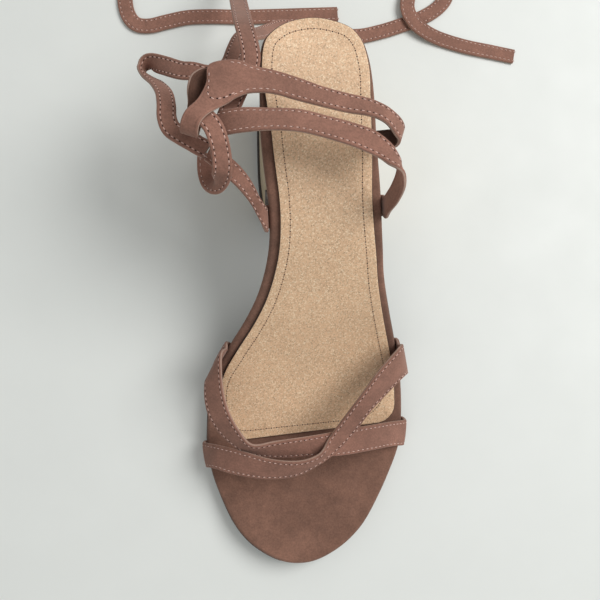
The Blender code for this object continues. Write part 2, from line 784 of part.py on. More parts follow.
def free_rows(table, rise):
    """Rows of a strap over the footbed, from its table."""
    rows = []
    for fa, fx, fr, ra, rx, rr in table:
        front = Vector((fx * BALL_WIDTH, y_at(fa), line_height(fa) + fr * rise))
        rear = Vector((rx * BALL_WIDTH, y_at(ra), line_height(ra) + rr * rise))
        rows.append([blend(front, rear, c / STRAP_COLUMNS) for c in range(STRAP_COLUMNS + 1)])
    return rows


def strap_rows(table, rise, steps, start=None, end=None):
    """Rows of points across a strap, smooth between its sections, with a tuck at each rooted end."""
    head = tuck_rows(start) if start else []
    tail = tuck_rows(end)[::-1] if end else []
    rows = head + free_rows(table, rise) + tail
    first = max(len(head) - 1, 0)
    last = len(rows) - max(len(tail), 1)
    lines = []
    for points in zip(*rows):
        fine = curve_through(points[max(first - 1, 0):last + 2], steps)
        lead = steps if head else 0
        trail = steps if tail else 0
        lines.append(list(points[:first]) + fine[lead:len(fine) - trail] + list(points[last + 1:]))
    return list(zip(*lines))


def add_grid(bm, rows):
    """Open grid of faces through rows of points, into a mesh."""
    lines = [[bm.verts.new(point) for point in row] for row in rows]
    for near, far in zip(lines, lines[1:]):
        for c in range(len(near) - 1):
            bm.faces.new((near[c], far[c], far[c + 1], near[c + 1]))


def build_strap(name, rows, thickness=STRAP_THICK):
    """Strap of even thickness laid along its rows."""
    bm = bmesh.new()
    add_grid(bm, rows)
    bmesh.ops.recalc_face_normals(bm, faces=bm.faces)
    item = add_object(name, bm, "suede")
    add_solidify(item, thickness)
    return item


def build_vamp():
    """Vamp straps, one over the other and joined where they cross."""
    under = build_strap("vamp_straps", strap_rows(STRAP_UNDER, VAMP_RISE, 3, "under_rear", "under_front"))
    over = build_strap("strap_over", strap_rows(STRAP_OVER, VAMP_RISE, 3, "over_rear", "over_front"))
    as_tool(over)
    add_boolean(under, over, "UNION")


def tie_rows(table, steps):
    """Edges of a flat tie along its route, turned about it by the table's roll."""
    points = [Vector((x * BALL_WIDTH, y_at(along), z * TIE_TOP)) for x, along, z, _ in table]
    rolls = [Vector((math.radians(row[3]), 0.0, 0.0)) for row in table]
    points = curve_through(points, steps)
    rolls = curve_through(rolls, steps)
    rows = []
    for i, point in enumerate(points):
        along = (points[min(i + 1, len(points) - 1)] - points[max(i - 1, 0)]).normalized()
        level = along.cross(Vector((0, 0, 1))).normalized()
        above = level.cross(along)
        side = level * math.cos(rolls[i].x) + above * math.sin(rolls[i].x)
        rows.append((point - side * TIE_WIDTH / 2, point + side * TIE_WIDTH / 2))
    return rows


def build_ties():
    """Collar, the two ties rooted in the rim, and the loose tie ends."""
    build_strap("lateral_tie", strap_rows(TIE_LATERAL, ANKLE_RISE, 2, "tie_lateral"))
    build_strap("medial_tie", strap_rows(TIE_MEDIAL, ANKLE_RISE, 2, "tie_medial"))
    build_strap("ankle_collar", strap_rows(COLLAR, ANKLE_RISE, 2))
    build_strap("bow_loop", tie_rows(BOW_LOOP, 2), TIE_THICK)
    build_strap("tie_long", tie_rows(TIE_LONG, 2), TIE_THICK)
    build_strap("tie_short", tie_rows(TIE_SHORT, 2), TIE_THICK)


for leftover in list(bpy.data.objects):
    bpy.data.objects.remove(leftover)

PART = bpy.data.collections.new("lace_up_sandal")
TOOLS = bpy.data.collections.new("tools")
bpy.context.scene.collection.children.link(PART)
bpy.context.scene.collection.children.link(TOOLS)

LINE_AT = column(LAST_LINE, 0)
LINE_PITCH = column(LAST_LINE, 1)
LINE_SPRING = column(LAST_LINE, 2)
EDGE_ROWS = {}
OUTLINE_ROWS = outline_loop()
SOCK_FULL_ROWS = sum(1 for p in OUTLINE_ROWS[0] if share_at(p.y) < 0.62)
BREAST = breast_arc()
TOUCH_TURN = math.degrees(math.asin((BREAST[2] - BREAST[0]) / BREAST_RADIUS))

build_footbed()
build_sock()
build_heel()
build_lift()
build_outsole()
build_vamp()
build_ties()
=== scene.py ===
"""Looks of the lace-up heeled sandal, in metres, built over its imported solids.

Run as a script. Each operator builds one group of pieces of the left shoe; the panel lists them.
The sole hangs from one last line and one plan outline; straps are sheets between two edges.
"""

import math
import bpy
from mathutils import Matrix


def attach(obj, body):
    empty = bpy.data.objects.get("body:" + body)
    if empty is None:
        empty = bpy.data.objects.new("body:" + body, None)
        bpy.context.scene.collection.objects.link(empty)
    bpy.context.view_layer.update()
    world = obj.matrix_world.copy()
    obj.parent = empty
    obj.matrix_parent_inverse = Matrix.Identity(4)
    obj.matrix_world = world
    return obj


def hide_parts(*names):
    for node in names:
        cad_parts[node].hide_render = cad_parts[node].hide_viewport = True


bl_info = {
    "name": "Lace-up Heeled Sandal",
    "version": (1, 0, 0),
    "blender": (4, 5, 0),
    "location": "View3D > Sidebar > Sandal",
    "description": "Builds the suede straps, ties, sole, heel and insole of a lace-up sandal",
    "category": "Object",
}

import bmesh
import bpy
from bpy.props import FloatProperty, FloatVectorProperty, PointerProperty
from mathutils import Matrix, Vector

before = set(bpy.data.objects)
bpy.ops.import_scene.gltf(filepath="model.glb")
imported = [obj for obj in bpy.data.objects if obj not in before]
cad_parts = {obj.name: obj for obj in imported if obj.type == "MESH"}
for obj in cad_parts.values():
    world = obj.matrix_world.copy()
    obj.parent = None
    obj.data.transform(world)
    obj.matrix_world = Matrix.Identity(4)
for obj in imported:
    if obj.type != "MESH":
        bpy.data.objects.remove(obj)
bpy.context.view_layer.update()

# Driving sizes of the sole, in metres
SOLE_LENGTH = 0.214
BALL_WIDTH = 0.086
SEAT_HEIGHT = 0.073
TOE_SPRING = 0.004
FOOTBED_THICK = 0.005
OUTSOLE_THICK = 0.0024
OUTSOLE_LIP = 0.0004
SOCK_THICK = 0.0012
RIM_WIDTH = 0.004
SEAT_DISH = 0.0008
DISH_START = 0.008
EDGE_ROUND = 0.0015
UNDERCUT = 0.002
GAP = 0.0003

# Driving sizes of the heel
LIFT_THICK = 0.006
LIFT_LIP = 0.0009
HEEL_TAPER = 0.0018
HEEL_BACK_RAKE = 0.003
HEEL_TOP_LENGTH = 0.068
HEEL_FOOT_LENGTH = 0.060
BREAST_RADIUS = 0.009

# Driving sizes of the straps
STRAP_THICK = 0.0016
TUCK_DEPTH = 0.006
VAMP_RISE = 0.020
ANKLE_RISE = 0.020
TIE_WIDTH = 0.007
TIE_THICK = 0.0014

TREAD_HEIGHT = OUTSOLE_THICK + GAP + FOOTBED_THICK
UNDER_FOOTBED = -(FOOTBED_THICK + GAP)
BACK_Y = HEEL_BACK_RAKE + HEEL_FOOT_LENGTH / 2
HEEL_FOOT_Z = LIFT_THICK + GAP
TIE_TOP = SEAT_HEIGHT + ANKLE_RISE

# Fineness: columns across a strap's rows and across the sole, steps between typed points
STRAP_COLUMNS = 3
SOLE_COLUMNS = 24
HEEL_COLUMNS = 12
OUTSOLE_COLUMNS = 16
OUTLINE_STEPS = 4
ROW_STEPS = 4
STRAP_SPACING = 0.0009

# Where each strap tucks under the footbed: side, front and rear shares
SIDES = ("medial", "lateral")
ROOTS = {
    "over_rear": ("lateral", 0.624, 0.560),
    "over_front": ("medial", 0.805, 0.756),
    "under_rear": ("medial", 0.624, 0.566),
    "under_front": ("lateral", 0.769, 0.716),
    "tie_lateral": ("lateral", 0.339, 0.302),
    "tie_medial": ("medial", 0.362, 0.322),
}

# Last line: share of the length from the heel's back, share of the pitch, share of the toe spring
LAST_LINE = (
    (0.00, 1.000, 0.00),
    (0.12, 0.962, 0.00),
    (0.21, 0.923, 0.00),
    (0.28, 0.877, 0.00),
    (0.33, 0.820, 0.00),
    (0.38, 0.735, 0.00),
    (0.43, 0.620, 0.00),
    (0.48, 0.495, 0.00),
    (0.53, 0.365, 0.00),
    (0.58, 0.240, 0.00),
    (0.63, 0.135, 0.00),
    (0.68, 0.060, 0.00),
    (0.72, 0.020, 0.00),
    (0.76, 0.000, 0.00),
    (0.86, 0.000, 0.00),
    (0.93, 0.000, 0.35),
    (1.00, 0.000, 1.00),
)

# Plan outline: share of the length, then medial and lateral edges as shares of the ball width
OUTLINE = (
    (0.000, -0.012, -0.012),
    (0.005, -0.099, 0.081),
    (0.016, -0.165, 0.150),
    (0.036, -0.222, 0.196),
    (0.058, -0.243, 0.219),
    (0.090, -0.249, 0.237),
    (0.140, -0.248, 0.251),
    (0.205, -0.244, 0.261),
    (0.257, -0.230, 0.274),
    (0.308, -0.212, 0.288),
    (0.355, -0.203, 0.301),
    (0.393, -0.205, 0.315),
    (0.433, -0.222, 0.332),
    (0.474, -0.254, 0.360),
    (0.517, -0.308, 0.395),
    (0.561, -0.378, 0.433),
    (0.612, -0.452, 0.474),
    (0.670, -0.489, 0.498),
    (0.732, -0.500, 0.504),
    (0.776, -0.497, 0.487),
    (0.829, -0.467, 0.434),
    (0.877, -0.420, 0.375),
    (0.924, -0.358, 0.302),
    (0.953, -0.297, 0.233),
    (0.974, -0.229, 0.161),
    (0.990, -0.155, 0.083),
    (0.998, -0.090, 0.018),
    (1.000, -0.036, -0.036),
)

# Insole sock: share of the length, then its inset from each edge as shares of the rim width
SOCK_INSET = (
    (0.00, 0.20, 0.20),
    (0.09, 0.17, 0.27),
    (0.14, 0.50, 0.45),
    (0.21, 0.98, 0.53),
    (0.31, 1.02, 0.90),
    (0.43, 0.88, 0.68),
    (0.56, 0.72, 0.70),
    (0.62, 0.85, 0.78),
    (0.67, 1.35, 0.85),
    (0.73, 1.85, 0.85),
    (1.00, 1.85, 0.85),
)
SOCK_FRONT = (0.752, 0.723)
SOCK_CORNER = 0.009
SOCK_CURVE_END = 0.62

# Insole's stitch row: how far it eases out on the medial side, where that starts and its run as
# shares of the length, the room its two front corners take, and the front row's distance inward
SOCK_STITCH_EASE = 0.0016
SOCK_EASE_START = 0.58
SOCK_EASE_RUN = 0.08
SOCK_STITCH_CORNERS = (0.009, 0.017)
SOCK_STITCH_FRONT = 0.0034

# Edge profiles: share of the thickness, or height for the lift, and how far the edge is trimmed in
SOCK_EDGE = ((1.0, 0.0006), (0.94, 0.0002), (0.75, 0.0), (0.0, 0.0))
OUTSOLE_EDGE = ((0.0, 0.0), (0.55, 0.0), (0.8, 0.00012), (0.93, 0.00032), (1.0, 0.0006))
LIFT_EDGE = (
    (LIFT_THICK, 0.0004),
    (LIFT_THICK - 0.0002, 0.0001),
    (LIFT_THICK - 0.0005, 0.0),
    (0.0006, 0.0),
    (0.0002, 0.0002),
    (0.0, 0.0006),
)
FOOTBED_MIDDLE = 0.6
LOWER_ROUND = 0.6

# Under the arch: share of the length, then how far the footbed's underside and the outsole
# draw in from the medial edge, as shares of the undercut
WAIST = (
    (0.00, 0.0, 0.1),
    (0.30, 0.0, 0.1),
    (0.36, 0.1, 0.6),
    (0.43, 0.7, 1.1),
    (0.50, 1.0, 1.4),
    (0.55, 0.7, 1.1),
    (0.59, 0.1, 0.5),
    (0.66, 0.0, -0.2),
    (1.00, 0.0, -0.2),
)

# Heel block: shares of the way down from the seat, shares of the way from the back to the breast,
# and how far the front corners are cut at the last rows
HEEL_LEVELS = (0.0, 0.02, 0.033, 0.045, 0.058, 0.07, 0.085, 0.10, 0.115, 0.13, 0.147, 0.165, 0.185,
               0.205, 0.228, 0.25, 0.44, 0.63, 0.81, 1.0)
HEEL_ROWS = (0.0, 0.004, 0.012, 0.022, 0.035, 0.052, 0.075, 0.10, 0.13, 0.165, 0.20, 0.25, 0.30,
             0.375, 0.45, 0.55, 0.65, 0.75, 0.85, 0.93, 0.965, 0.985, 0.995, 1.0)
HEEL_CORNER_TURN = {0.965: 0.0, 0.985: 0.12, 0.995: 0.45, 1.0: 1.0}
HEEL_TOP_INSET = 0.0005
HEEL_CORNER = 0.0012

# Straps, row by row: front edge (share of the length, share of the ball width, share of the rise),
# then the rear edge in the same way
STRAP_OVER = (
    (0.620, 0.493, 0.32, 0.562, 0.445, 0.35),
    (0.628, 0.450, 0.66, 0.574, 0.408, 0.69),
    (0.660, 0.365, 0.88, 0.614, 0.316, 1.00),
    (0.693, 0.288, 0.99, 0.660, 0.235, 1.10),
    (0.736, 0.214, 0.96, 0.701, 0.163, 1.07),
    (0.771, 0.135, 0.84, 0.741, 0.098, 0.97),
    (0.794, 0.047, 0.85, 0.771, 0.050, 1.04),
    (0.815, -0.065, 0.85, 0.784, -0.050, 1.08),
    (0.820, -0.212, 0.81, 0.780, -0.185, 1.04),
    (0.813, -0.357, 0.66, 0.766, -0.325, 0.81),
    (0.805, -0.455, 0.38, 0.758, -0.440, 0.47),
)
STRAP_UNDER = (
    (0.633, -0.498, 0.46, 0.580, -0.422, 0.50),
    (0.668, -0.500, 0.67, 0.640, -0.415, 0.86),
    (0.707, -0.472, 0.77, 0.688, -0.385, 1.01),
    (0.742, -0.405, 0.75, 0.728, -0.332, 1.02),
    (0.770, -0.307, 0.66, 0.753, -0.272, 0.95),
    (0.782, -0.161, 0.60, 0.748, -0.160, 0.86),
    (0.780, 0.010, 0.72, 0.739, 0.007, 0.86),
    (0.779, 0.156, 0.77, 0.731, 0.130, 0.86),
    (0.773, 0.306, 0.60, 0.722, 0.300, 0.67),
    (0.769, 0.430, 0.30, 0.718, 0.430, 0.36),
)
TIE_LATERAL = (
    (0.335, 0.312, 0.32, 0.301, 0.300, 0.36),
    (0.326, 0.326, 0.70, 0.297, 0.300, 0.60),
    (0.310, 0.332, 1.05, 0.286, 0.308, 0.77),
    (0.292, 0.318, 1.20, 0.275, 0.312, 0.88),
    (0.282, 0.290, 1.16, 0.264, 0.315, 0.90),
    (0.276, 0.258, 1.13, 0.252, 0.300, 0.92),
    (0.265, 0.222, 1.06, 0.237, 0.272, 0.92),
    (0.253, 0.153, 1.05, 0.218, 0.205, 0.91),
    (0.245, 0.094, 1.05, 0.206, 0.100, 0.94),
    (0.236, 0.000, 1.09, 0.198, 0.002, 0.97),
    (0.228, -0.100, 1.10, 0.189, -0.098, 0.95),
    (0.225, -0.214, 1.05, 0.187, -0.214, 0.92),
    (0.225, -0.331, 0.88, 0.184, -0.331, 0.82),
    (0.226, -0.418, 0.68, 0.185, -0.418, 0.66),
)
COLLAR = (
    (0.234, 0.160, 0.83, 0.218, 0.164, 0.75),
    (0.236, 0.233, 0.79, 0.212, 0.237, 0.68),
    (0.238, 0.285, 0.62, 0.204, 0.299, 0.50),
    (0.235, 0.312, 0.63, 0.204, 0.338, 0.46),
    (0.229, 0.316, 0.76, 0.200, 0.342, 0.60),
    (0.224, 0.296, 0.87, 0.192, 0.318, 0.75),
    (0.212, 0.260, 1.00, 0.181, 0.274, 0.82),
    (0.203, 0.217, 1.02, 0.174, 0.235, 0.86),
    (0.198, 0.167, 1.02, 0.167, 0.182, 0.88),
    (0.194, 0.097, 1.00, 0.160, 0.100, 0.87),
    (0.186, 0.000, 1.00, 0.150, 0.000, 0.86),
    (0.174, -0.109, 0.93, 0.136, -0.091, 0.81),
    (0.163, -0.203, 0.88, 0.124, -0.186, 0.78),
    (0.163, -0.291, 0.88, 0.116, -0.282, 0.77),
    (0.171, -0.346, 0.89, 0.107, -0.354, 0.76),
    (0.182, -0.382, 0.94, 0.115, -0.455, 0.74),
    (0.193, -0.427, 1.00, 0.145, -0.464, 0.81),
    (0.204, -0.465, 1.04, 0.174, -0.497, 0.89),
    (0.216, -0.489, 1.04, 0.194, -0.545, 0.94),
    (0.226, -0.498, 0.94, 0.211, -0.566, 0.91),
    (0.229, -0.498, 0.76, 0.219, -0.571, 0.75),
    (0.217, -0.496, 0.59, 0.212, -0.565, 0.55),
    (0.197, -0.484, 0.55, 0.190, -0.553, 0.51),
    (0.174, -0.478, 0.47, 0.171, -0.542, 0.61),
    (0.160, -0.483, 0.41, 0.159, -0.541, 0.73),
    (0.152, -0.482, 0.39, 0.148, -0.535, 0.81),
    (0.145, -0.478, 0.38, 0.134, -0.523, 0.79),
    (0.142, -0.468, 0.41, 0.124, -0.499, 0.74),
    (0.143, -0.453, 0.49, 0.118, -0.476, 0.67),
    (0.145, -0.436, 0.59, 0.118, -0.450, 0.62),
)
TIE_MEDIAL = (
    (0.356, -0.236, 0.20, 0.315, -0.244, 0.23),
    (0.322, -0.288, 0.25, 0.289, -0.280, 0.28),
    (0.298, -0.348, 0.41, 0.267, -0.327, 0.37),
    (0.281, -0.405, 0.50, 0.247, -0.389, 0.47),
    (0.260, -0.479, 0.56, 0.228, -0.441, 0.49),
)

# Tie ends: share of the ball width, share of the length, share of the tie height, roll in degrees
BOW_LOOP = (
    (-0.480, 0.199, 0.925, 0),
    (-0.443, 0.215, 0.928, 5),
    (-0.421, 0.235, 0.922, 5),
    (-0.410, 0.252, 0.888, 5),
    (-0.405, 0.266, 0.872, 5),
    (-0.405, 0.279, 0.853, 5),
    (-0.413, 0.289, 0.808, 5),
    (-0.434, 0.293, 0.748, 5),
    (-0.458, 0.284, 0.705, 5),
    (-0.472, 0.268, 0.690, 5),
    (-0.475, 0.251, 0.705, 5),
    (-0.472, 0.235, 0.725, 5),
)
TIE_LONG = (
    (-0.467, 0.243, 0.827, -5),
    (-0.498, 0.236, 0.823, -5),
    (-0.534, 0.227, 0.817, -5),
    (-0.578, 0.216, 0.810, -5),
    (-0.616, 0.204, 0.802, -5),
    (-0.635, 0.184, 0.790, -10),
    (-0.640, 0.158, 0.765, -20),
    (-0.655, 0.130, 0.720, -30),
    (-0.690, 0.105, 0.665, -45),
    (-0.740, 0.083, 0.610, -60),
    (-0.770, 0.065, 0.585, -80),
    (-0.735, 0.055, 0.600, -60),
    (-0.665, 0.070, 0.655, -25),
    (-0.590, 0.087, 0.705, -5),
    (-0.533, 0.092, 0.726, 0),
    (-0.476, 0.098, 0.733, 0),
    (-0.420, 0.094, 0.726, 0),
    (-0.375, 0.074, 0.704, 0),
    (-0.351, 0.040, 0.660, 0),
    (-0.323, 0.004, 0.590, 0),
    (-0.280, -0.024, 0.490, 0),
    (-0.227, -0.054, 0.365, 0),
    (-0.163, -0.090, 0.235, 0),
    (-0.090, -0.120, 0.130, 0),
    (0.025, -0.127, 0.045, 0),
    (0.165, -0.127, 0.012, 0),
    (0.325, -0.127, 0.011, 0),
    (0.445, -0.138, 0.011, 0),
    (0.555, -0.153, 0.011, 0),
    (0.675, -0.172, 0.011, 0),
    (0.775, -0.197, 0.011, 0),
    (0.830, -0.228, 0.011, 0),
    (0.805, -0.262, 0.011, 0),
    (0.725, -0.272, 0.011, 0),
    (0.640, -0.245, 0.020, 0),
    (0.600, -0.200, 0.032, 0),
    (0.625, -0.165, 0.034, 0),
    (0.695, -0.141, 0.026, 0),
    (0.795, -0.125, 0.013, 0),
    (0.935, -0.110, 0.011, 0),
    (1.075, -0.100, 0.011, 0),
    (1.210, -0.090, 0.011, 0),
)
TIE_SHORT = (
    (-0.405, 0.212, 0.855, 0),
    (-0.386, 0.190, 0.856, 0),
    (-0.360, 0.163, 0.850, 0),
    (-0.332, 0.137, 0.845, 0),
    (-0.302, 0.113, 0.840, 0),
    (-0.287, 0.085, 0.832, 0),
    (-0.298, 0.050, 0.808, 0),
    (-0.316, 0.008, 0.745, 0),
    (-0.328, -0.040, 0.625, 0),
    (-0.340, -0.097, 0.475, 0),
    (-0.352, -0.165, 0.300, 0),
    (-0.375, -0.230, 0.150, 0),
    (-0.430, -0.287, 0.045, 0),
    (-0.525, -0.323, 0.012, 0),
    (-0.660, -0.333, 0.011, 0),
    (-0.795, -0.315, 0.011, 0),
    (-0.895, -0.273, 0.011, 0),
    (-0.945, -0.218, 0.011, 0),
    (-0.940, -0.170, 0.011, 0),
    (-0.895, -0.140, 0.011, 0),
    (-0.820, -0.135, 0.011, 0),
    (-0.720, -0.146, 0.011, 0),
    (-0.610, -0.157, 0.011, 0),
    (-0.480, -0.161, 0.011, 0),
    (-0.325, -0.162, 0.011, 0),
    (-0.160, -0.166, 0.011, 0),
    (0.025, -0.171, 0.011, 0),
    (0.210, -0.176, 0.011, 0),
)


def column(table, index):
    """One column of a table."""
    return [row[index] for row in table]


def lookup(keys, values, at):
    """Monotone cubic through the values, so the line never bulges past them."""
    last = len(keys) - 1
    at = min(max(at, keys[0]), keys[last])
    spans = [keys[i + 1] - keys[i] for i in range(last)]
    rates = [(values[i + 1] - values[i]) / spans[i] for i in range(last)]
    bends = [rates[0]]
    for i in range(1, last):
        before, after = rates[i - 1], rates[i]
        bends.append(0.0 if before * after <= 0 else 2 * before * after / (before + after))
    bends.append(rates[-1])
    i = max(0, min(last - 1, sum(1 for key in keys if key < at) - 1))
    t = (at - keys[i]) / spans[i]
    start = (2 * t ** 3 - 3 * t ** 2 + 1) * values[i] + (t ** 3 - 2 * t ** 2 + t) * spans[i] * bends[i]
    end = (3 * t ** 2 - 2 * t ** 3) * values[i + 1] + (t ** 3 - t ** 2) * spans[i] * bends[i + 1]
    return start + end


def blend(a, b, t):
    """Linear mix of two numbers or vectors."""
    return a + (b - a) * t


def curve_through(points, steps):
    """Catmull-Rom points through the list, with the given number of steps to each span."""
    out = []
    for i in range(len(points) - 1):
        p0 = points[max(i - 1, 0)]
        p1, p2 = points[i], points[i + 1]
        p3 = points[min(i + 2, len(points) - 1)]
        for k in range(steps):
            t = k / steps
            out.append(0.5 * (2 * p1 + (p2 - p0) * t + (2 * p0 - 5 * p1 + 4 * p2 - p3) * t ** 2
                              + (3 * p1 - p0 - 3 * p2 + p3) * t ** 3))
    out.append(points[-1].copy())
    return out


def share_at(y):
    """Share of the length at a plan position, from the heel's back."""
    return (BACK_Y - y) / SOLE_LENGTH


def y_at(share):
    """Plan position at a share of the length."""
    return BACK_Y - share * SOLE_LENGTH


def line_height(share):
    """Height of the footbed's top along the last line."""
    pitch = lookup(LINE_AT, LINE_PITCH, share)
    spring = lookup(LINE_AT, LINE_SPRING, share)
    return TREAD_HEIGHT + pitch * (SEAT_HEIGHT - TREAD_HEIGHT) + spring * TOE_SPRING


def on_line(x, y, rise, cupped=False):
    """Point at plan (x, y), moved off the last line along its normal."""
    share = share_at(y)
    step = 0.004
    slope = (line_height(share + step) - line_height(share - step)) / (2 * step * SOLE_LENGTH)
    size = math.hypot(1, slope)
    z = line_height(share)
    if cupped:
        low, high = edges_at(y, 0.0)
        half = max((high - low) / 2, EDGE_ROUND)
        across = (x - (low + high) / 2) / half
        fade = min(max((half - DISH_START) / DISH_START, 0.0), 1.0)
        z -= SEAT_DISH * fade * max(0.0, 1 - across ** 2)
    return Vector((x, y + rise * slope / size, z + rise / size))


def outline_loop():
    """Closed plan outline as medial points, heel to toe, and lateral points in the same rows."""
    rows = [(y_at(at), medial * BALL_WIDTH, lateral * BALL_WIDTH) for at, medial, lateral in OUTLINE]
    medial = [Vector((row[1], row[0])) for row in rows]
    lateral = [Vector((row[2], row[0])) for row in rows]
    around = medial + lateral[-2:0:-1]
    count = len(around)
    fine = []
    for i in range(count):
        span = [around[(i + k) % count] for k in (-1, 0, 1, 2)]
        fine += curve_through(span, OUTLINE_STEPS)[OUTLINE_STEPS:2 * OUTLINE_STEPS]
    rows = (len(OUTLINE) - 1) * OUTLINE_STEPS + 1
    return fine[:rows], [fine[0]] + fine[:rows - 2:-1][:rows - 1]


def plan_rows(inset):
    """Outline rows moved in by an inset, which may be a function of the side and the share."""
    medial, lateral = OUTLINE_ROWS
    around = medial + lateral[-2:0:-1]
    count = len(around)
    moved = []
    for i, point in enumerate(around):
        along = around[(i + 1) % count] - around[i - 1]
        along.normalize()
        side = 1 if i < len(medial) else 2
        depth = inset(side, share_at(point.y)) if callable(inset) else inset
        moved.append(point - Vector((along.y, -along.x)) * depth)
    tail = moved[len(medial):]
    return moved[:len(medial)], [moved[0]] + tail[::-1] + [moved[len(medial) - 1]]


def along_y(points, y):
    """X of a row of plan points at a position along the shoe."""
    for a, b in zip(points, points[1:]):
        if min(a.y, b.y) <= y <= max(a.y, b.y) and a.y != b.y:
            return blend(a.x, b.x, (y - a.y) / (b.y - a.y))
    return points[0].x if y > points[0].y else points[-1].x


def edges_at(y, inset):
    """Medial and lateral X of the outline at a position along the shoe."""
    if inset not in EDGE_ROWS:
        EDGE_ROWS[inset] = plan_rows(inset)
    medial, lateral = EDGE_ROWS[inset]
    return along_y(medial, y), along_y(lateral, y)


def waist(share, index):
    """How far the footbed's underside (1) or the outsole (2) draws in under the arch."""
    return UNDERCUT * lookup(column(WAIST, 0), column(WAIST, index), share)


def drawn_in(side, share):
    """Inset of the footbed's underside: only its medial edge draws in."""
    return waist(share, 1) if side == 1 else 0.0


def under_height(y):
    """Height of the face under the footbed, at a plan position."""
    source = y
    for _ in range(4):
        source += y - on_line(0.0, source, UNDER_FOOTBED).y
    return on_line(0.0, source, UNDER_FOOTBED).z


def breast_arc():
    """Centre of the fillet over the heel breast, and where it meets the shank."""
    centre_y = y_at(HEEL_TOP_LENGTH / SOLE_LENGTH)
    best = None
    for k in range(1, 80):
        y = centre_y - BREAST_RADIUS * k / 80
        z = under_height(y) - math.sqrt(BREAST_RADIUS ** 2 - (y - centre_y) ** 2)
        if best is None or z < best[0]:
            best = (z, y)
    return centre_y, best[0], best[1]


def breast_y(z, radius):
    """Front of the heel at a height: along the fillet above its centre, then raked down."""
    centre_y, centre_z, _ = BREAST
    if z >= centre_z:
        return centre_y + math.sqrt(max(radius ** 2 - (z - centre_z) ** 2, 0.0))
    foot = y_at((HEEL_BACK_RAKE + HEEL_FOOT_LENGTH - OUTSOLE_THICK - 2 * GAP) / SOLE_LENGTH)
    foot += radius - BREAST_RADIUS
    t = (centre_z - z) / (centre_z - HEEL_FOOT_Z)
    return blend(centre_y + radius, foot, t)


def rim_point(side, share, out, rise):
    """Point beside the footbed's rim, moved outward in plan and off the last line."""
    y = y_at(share)
    step = 0.002
    edge = SIDES.index(side)
    here = edges_at(y, 0.0)[edge]
    lean = (edges_at(y + step, 0.0)[edge] - edges_at(y - step, 0.0)[edge]) / (2 * step)
    size = math.hypot(1, lean)
    face = 1 if side == "lateral" else -1
    return on_line(here + face * out / size, y - face * lean * out / size, rise)


def rim_row(side, front, rear, out, rise):
    """Points across a strap beside the rim, from its front edge to its rear edge."""
    shares = [blend(front, rear, c / STRAP_COLUMNS) for c in range(STRAP_COLUMNS + 1)]
    return [rim_point(side, share, out, rise) for share in shares]


def tuck_rows(root):
    """Rows of a strap's end, from under the footbed out to the rim and up past it."""
    side, front, rear = ROOTS[root]
    level = STRAP_THICK / 2 - FOOTBED_THICK + GAP / 3
    clear = GAP * 1.4 + STRAP_THICK / 2
    turns = (
        (-TUCK_DEPTH, level),
        (-STRAP_THICK * 0.4, level),
        (clear * 0.7, level + STRAP_THICK * 0.3),
        (clear, level + STRAP_THICK * 1.15),
        (clear, 0.001),
    )
    return [rim_row(side, front, rear, out, rise) for out, rise in turns]


def free_rows(table, rise):
    """Rows of a strap over the footbed, from its table."""
    rows = []
    for fa, fx, fr, ra, rx, rr in table:
        front = Vector((fx * BALL_WIDTH, y_at(fa), line_height(fa) + fr * rise))
        rear = Vector((rx * BALL_WIDTH, y_at(ra), line_height(ra) + rr * rise))
        rows.append([blend(front, rear, c / STRAP_COLUMNS) for c in range(STRAP_COLUMNS + 1)])
    return rows


def strap_rows(table, rise, start=None, end=None):
    """Rows of points across a strap, smooth between its sections, with a tuck at each rooted end."""
    head = tuck_rows(start) if start else []
    tail = tuck_rows(end)[::-1] if end else []
    rows = head + free_rows(table, rise) + tail
    first = max(len(head) - 1, 0)
    last = len(rows) - max(len(tail), 1)
    lines = []
    for points in zip(*rows):
        fine = curve_through(points[max(first - 1, 0):last + 2], ROW_STEPS)
        lead = ROW_STEPS if head else 0
        trail = ROW_STEPS if tail else 0
        lines.append(list(points[:first]) + fine[lead:len(fine) - trail] + list(points[last + 1:]))
    return list(zip(*lines))


def tie_rows(table):
    """Edges of a flat tie along its route, turned about it by the table's roll."""
    points = [Vector((x * BALL_WIDTH, y_at(along), z * TIE_TOP)) for x, along, z, _ in table]
    rolls = [Vector((math.radians(row[3]), 0.0, 0.0)) for row in table]
    points = curve_through(points, ROW_STEPS)
    rolls = curve_through(rolls, ROW_STEPS)
    rows = []
    for i, point in enumerate(points):
        along = (points[min(i + 1, len(points) - 1)] - points[max(i - 1, 0)]).normalized()
        level = along.cross(Vector((0, 0, 1))).normalized()
        above = level.cross(along)
        side = level * math.cos(rolls[i].x) + above * math.sin(rolls[i].x)
        rows.append((point - side * TIE_WIDTH / 2, point + side * TIE_WIDTH / 2))
    return rows


LINE_AT = column(LAST_LINE, 0)
LINE_PITCH = column(LAST_LINE, 1)
LINE_SPRING = column(LAST_LINE, 2)
EDGE_ROWS = {}
OUTLINE_ROWS = outline_loop()
SOCK_FULL_ROWS = sum(1 for p in OUTLINE_ROWS[0] if share_at(p.y) < SOCK_CURVE_END)
BREAST = breast_arc()
TOUCH_TURN = math.degrees(math.asin((BREAST[2] - BREAST[0]) / BREAST_RADIUS))

# Camera, read from the photograph
CAMERA_PLACE = Vector((-0.0293, -0.0911, 0.320))
CAMERA_AIM = Vector((-0.0010, -0.0660, 0.0))
CAMERA_UP = Vector((0.0021, 0.9969, 0.0783))
CAMERA_LENS = 41.93
SENSOR_WIDTH = 36

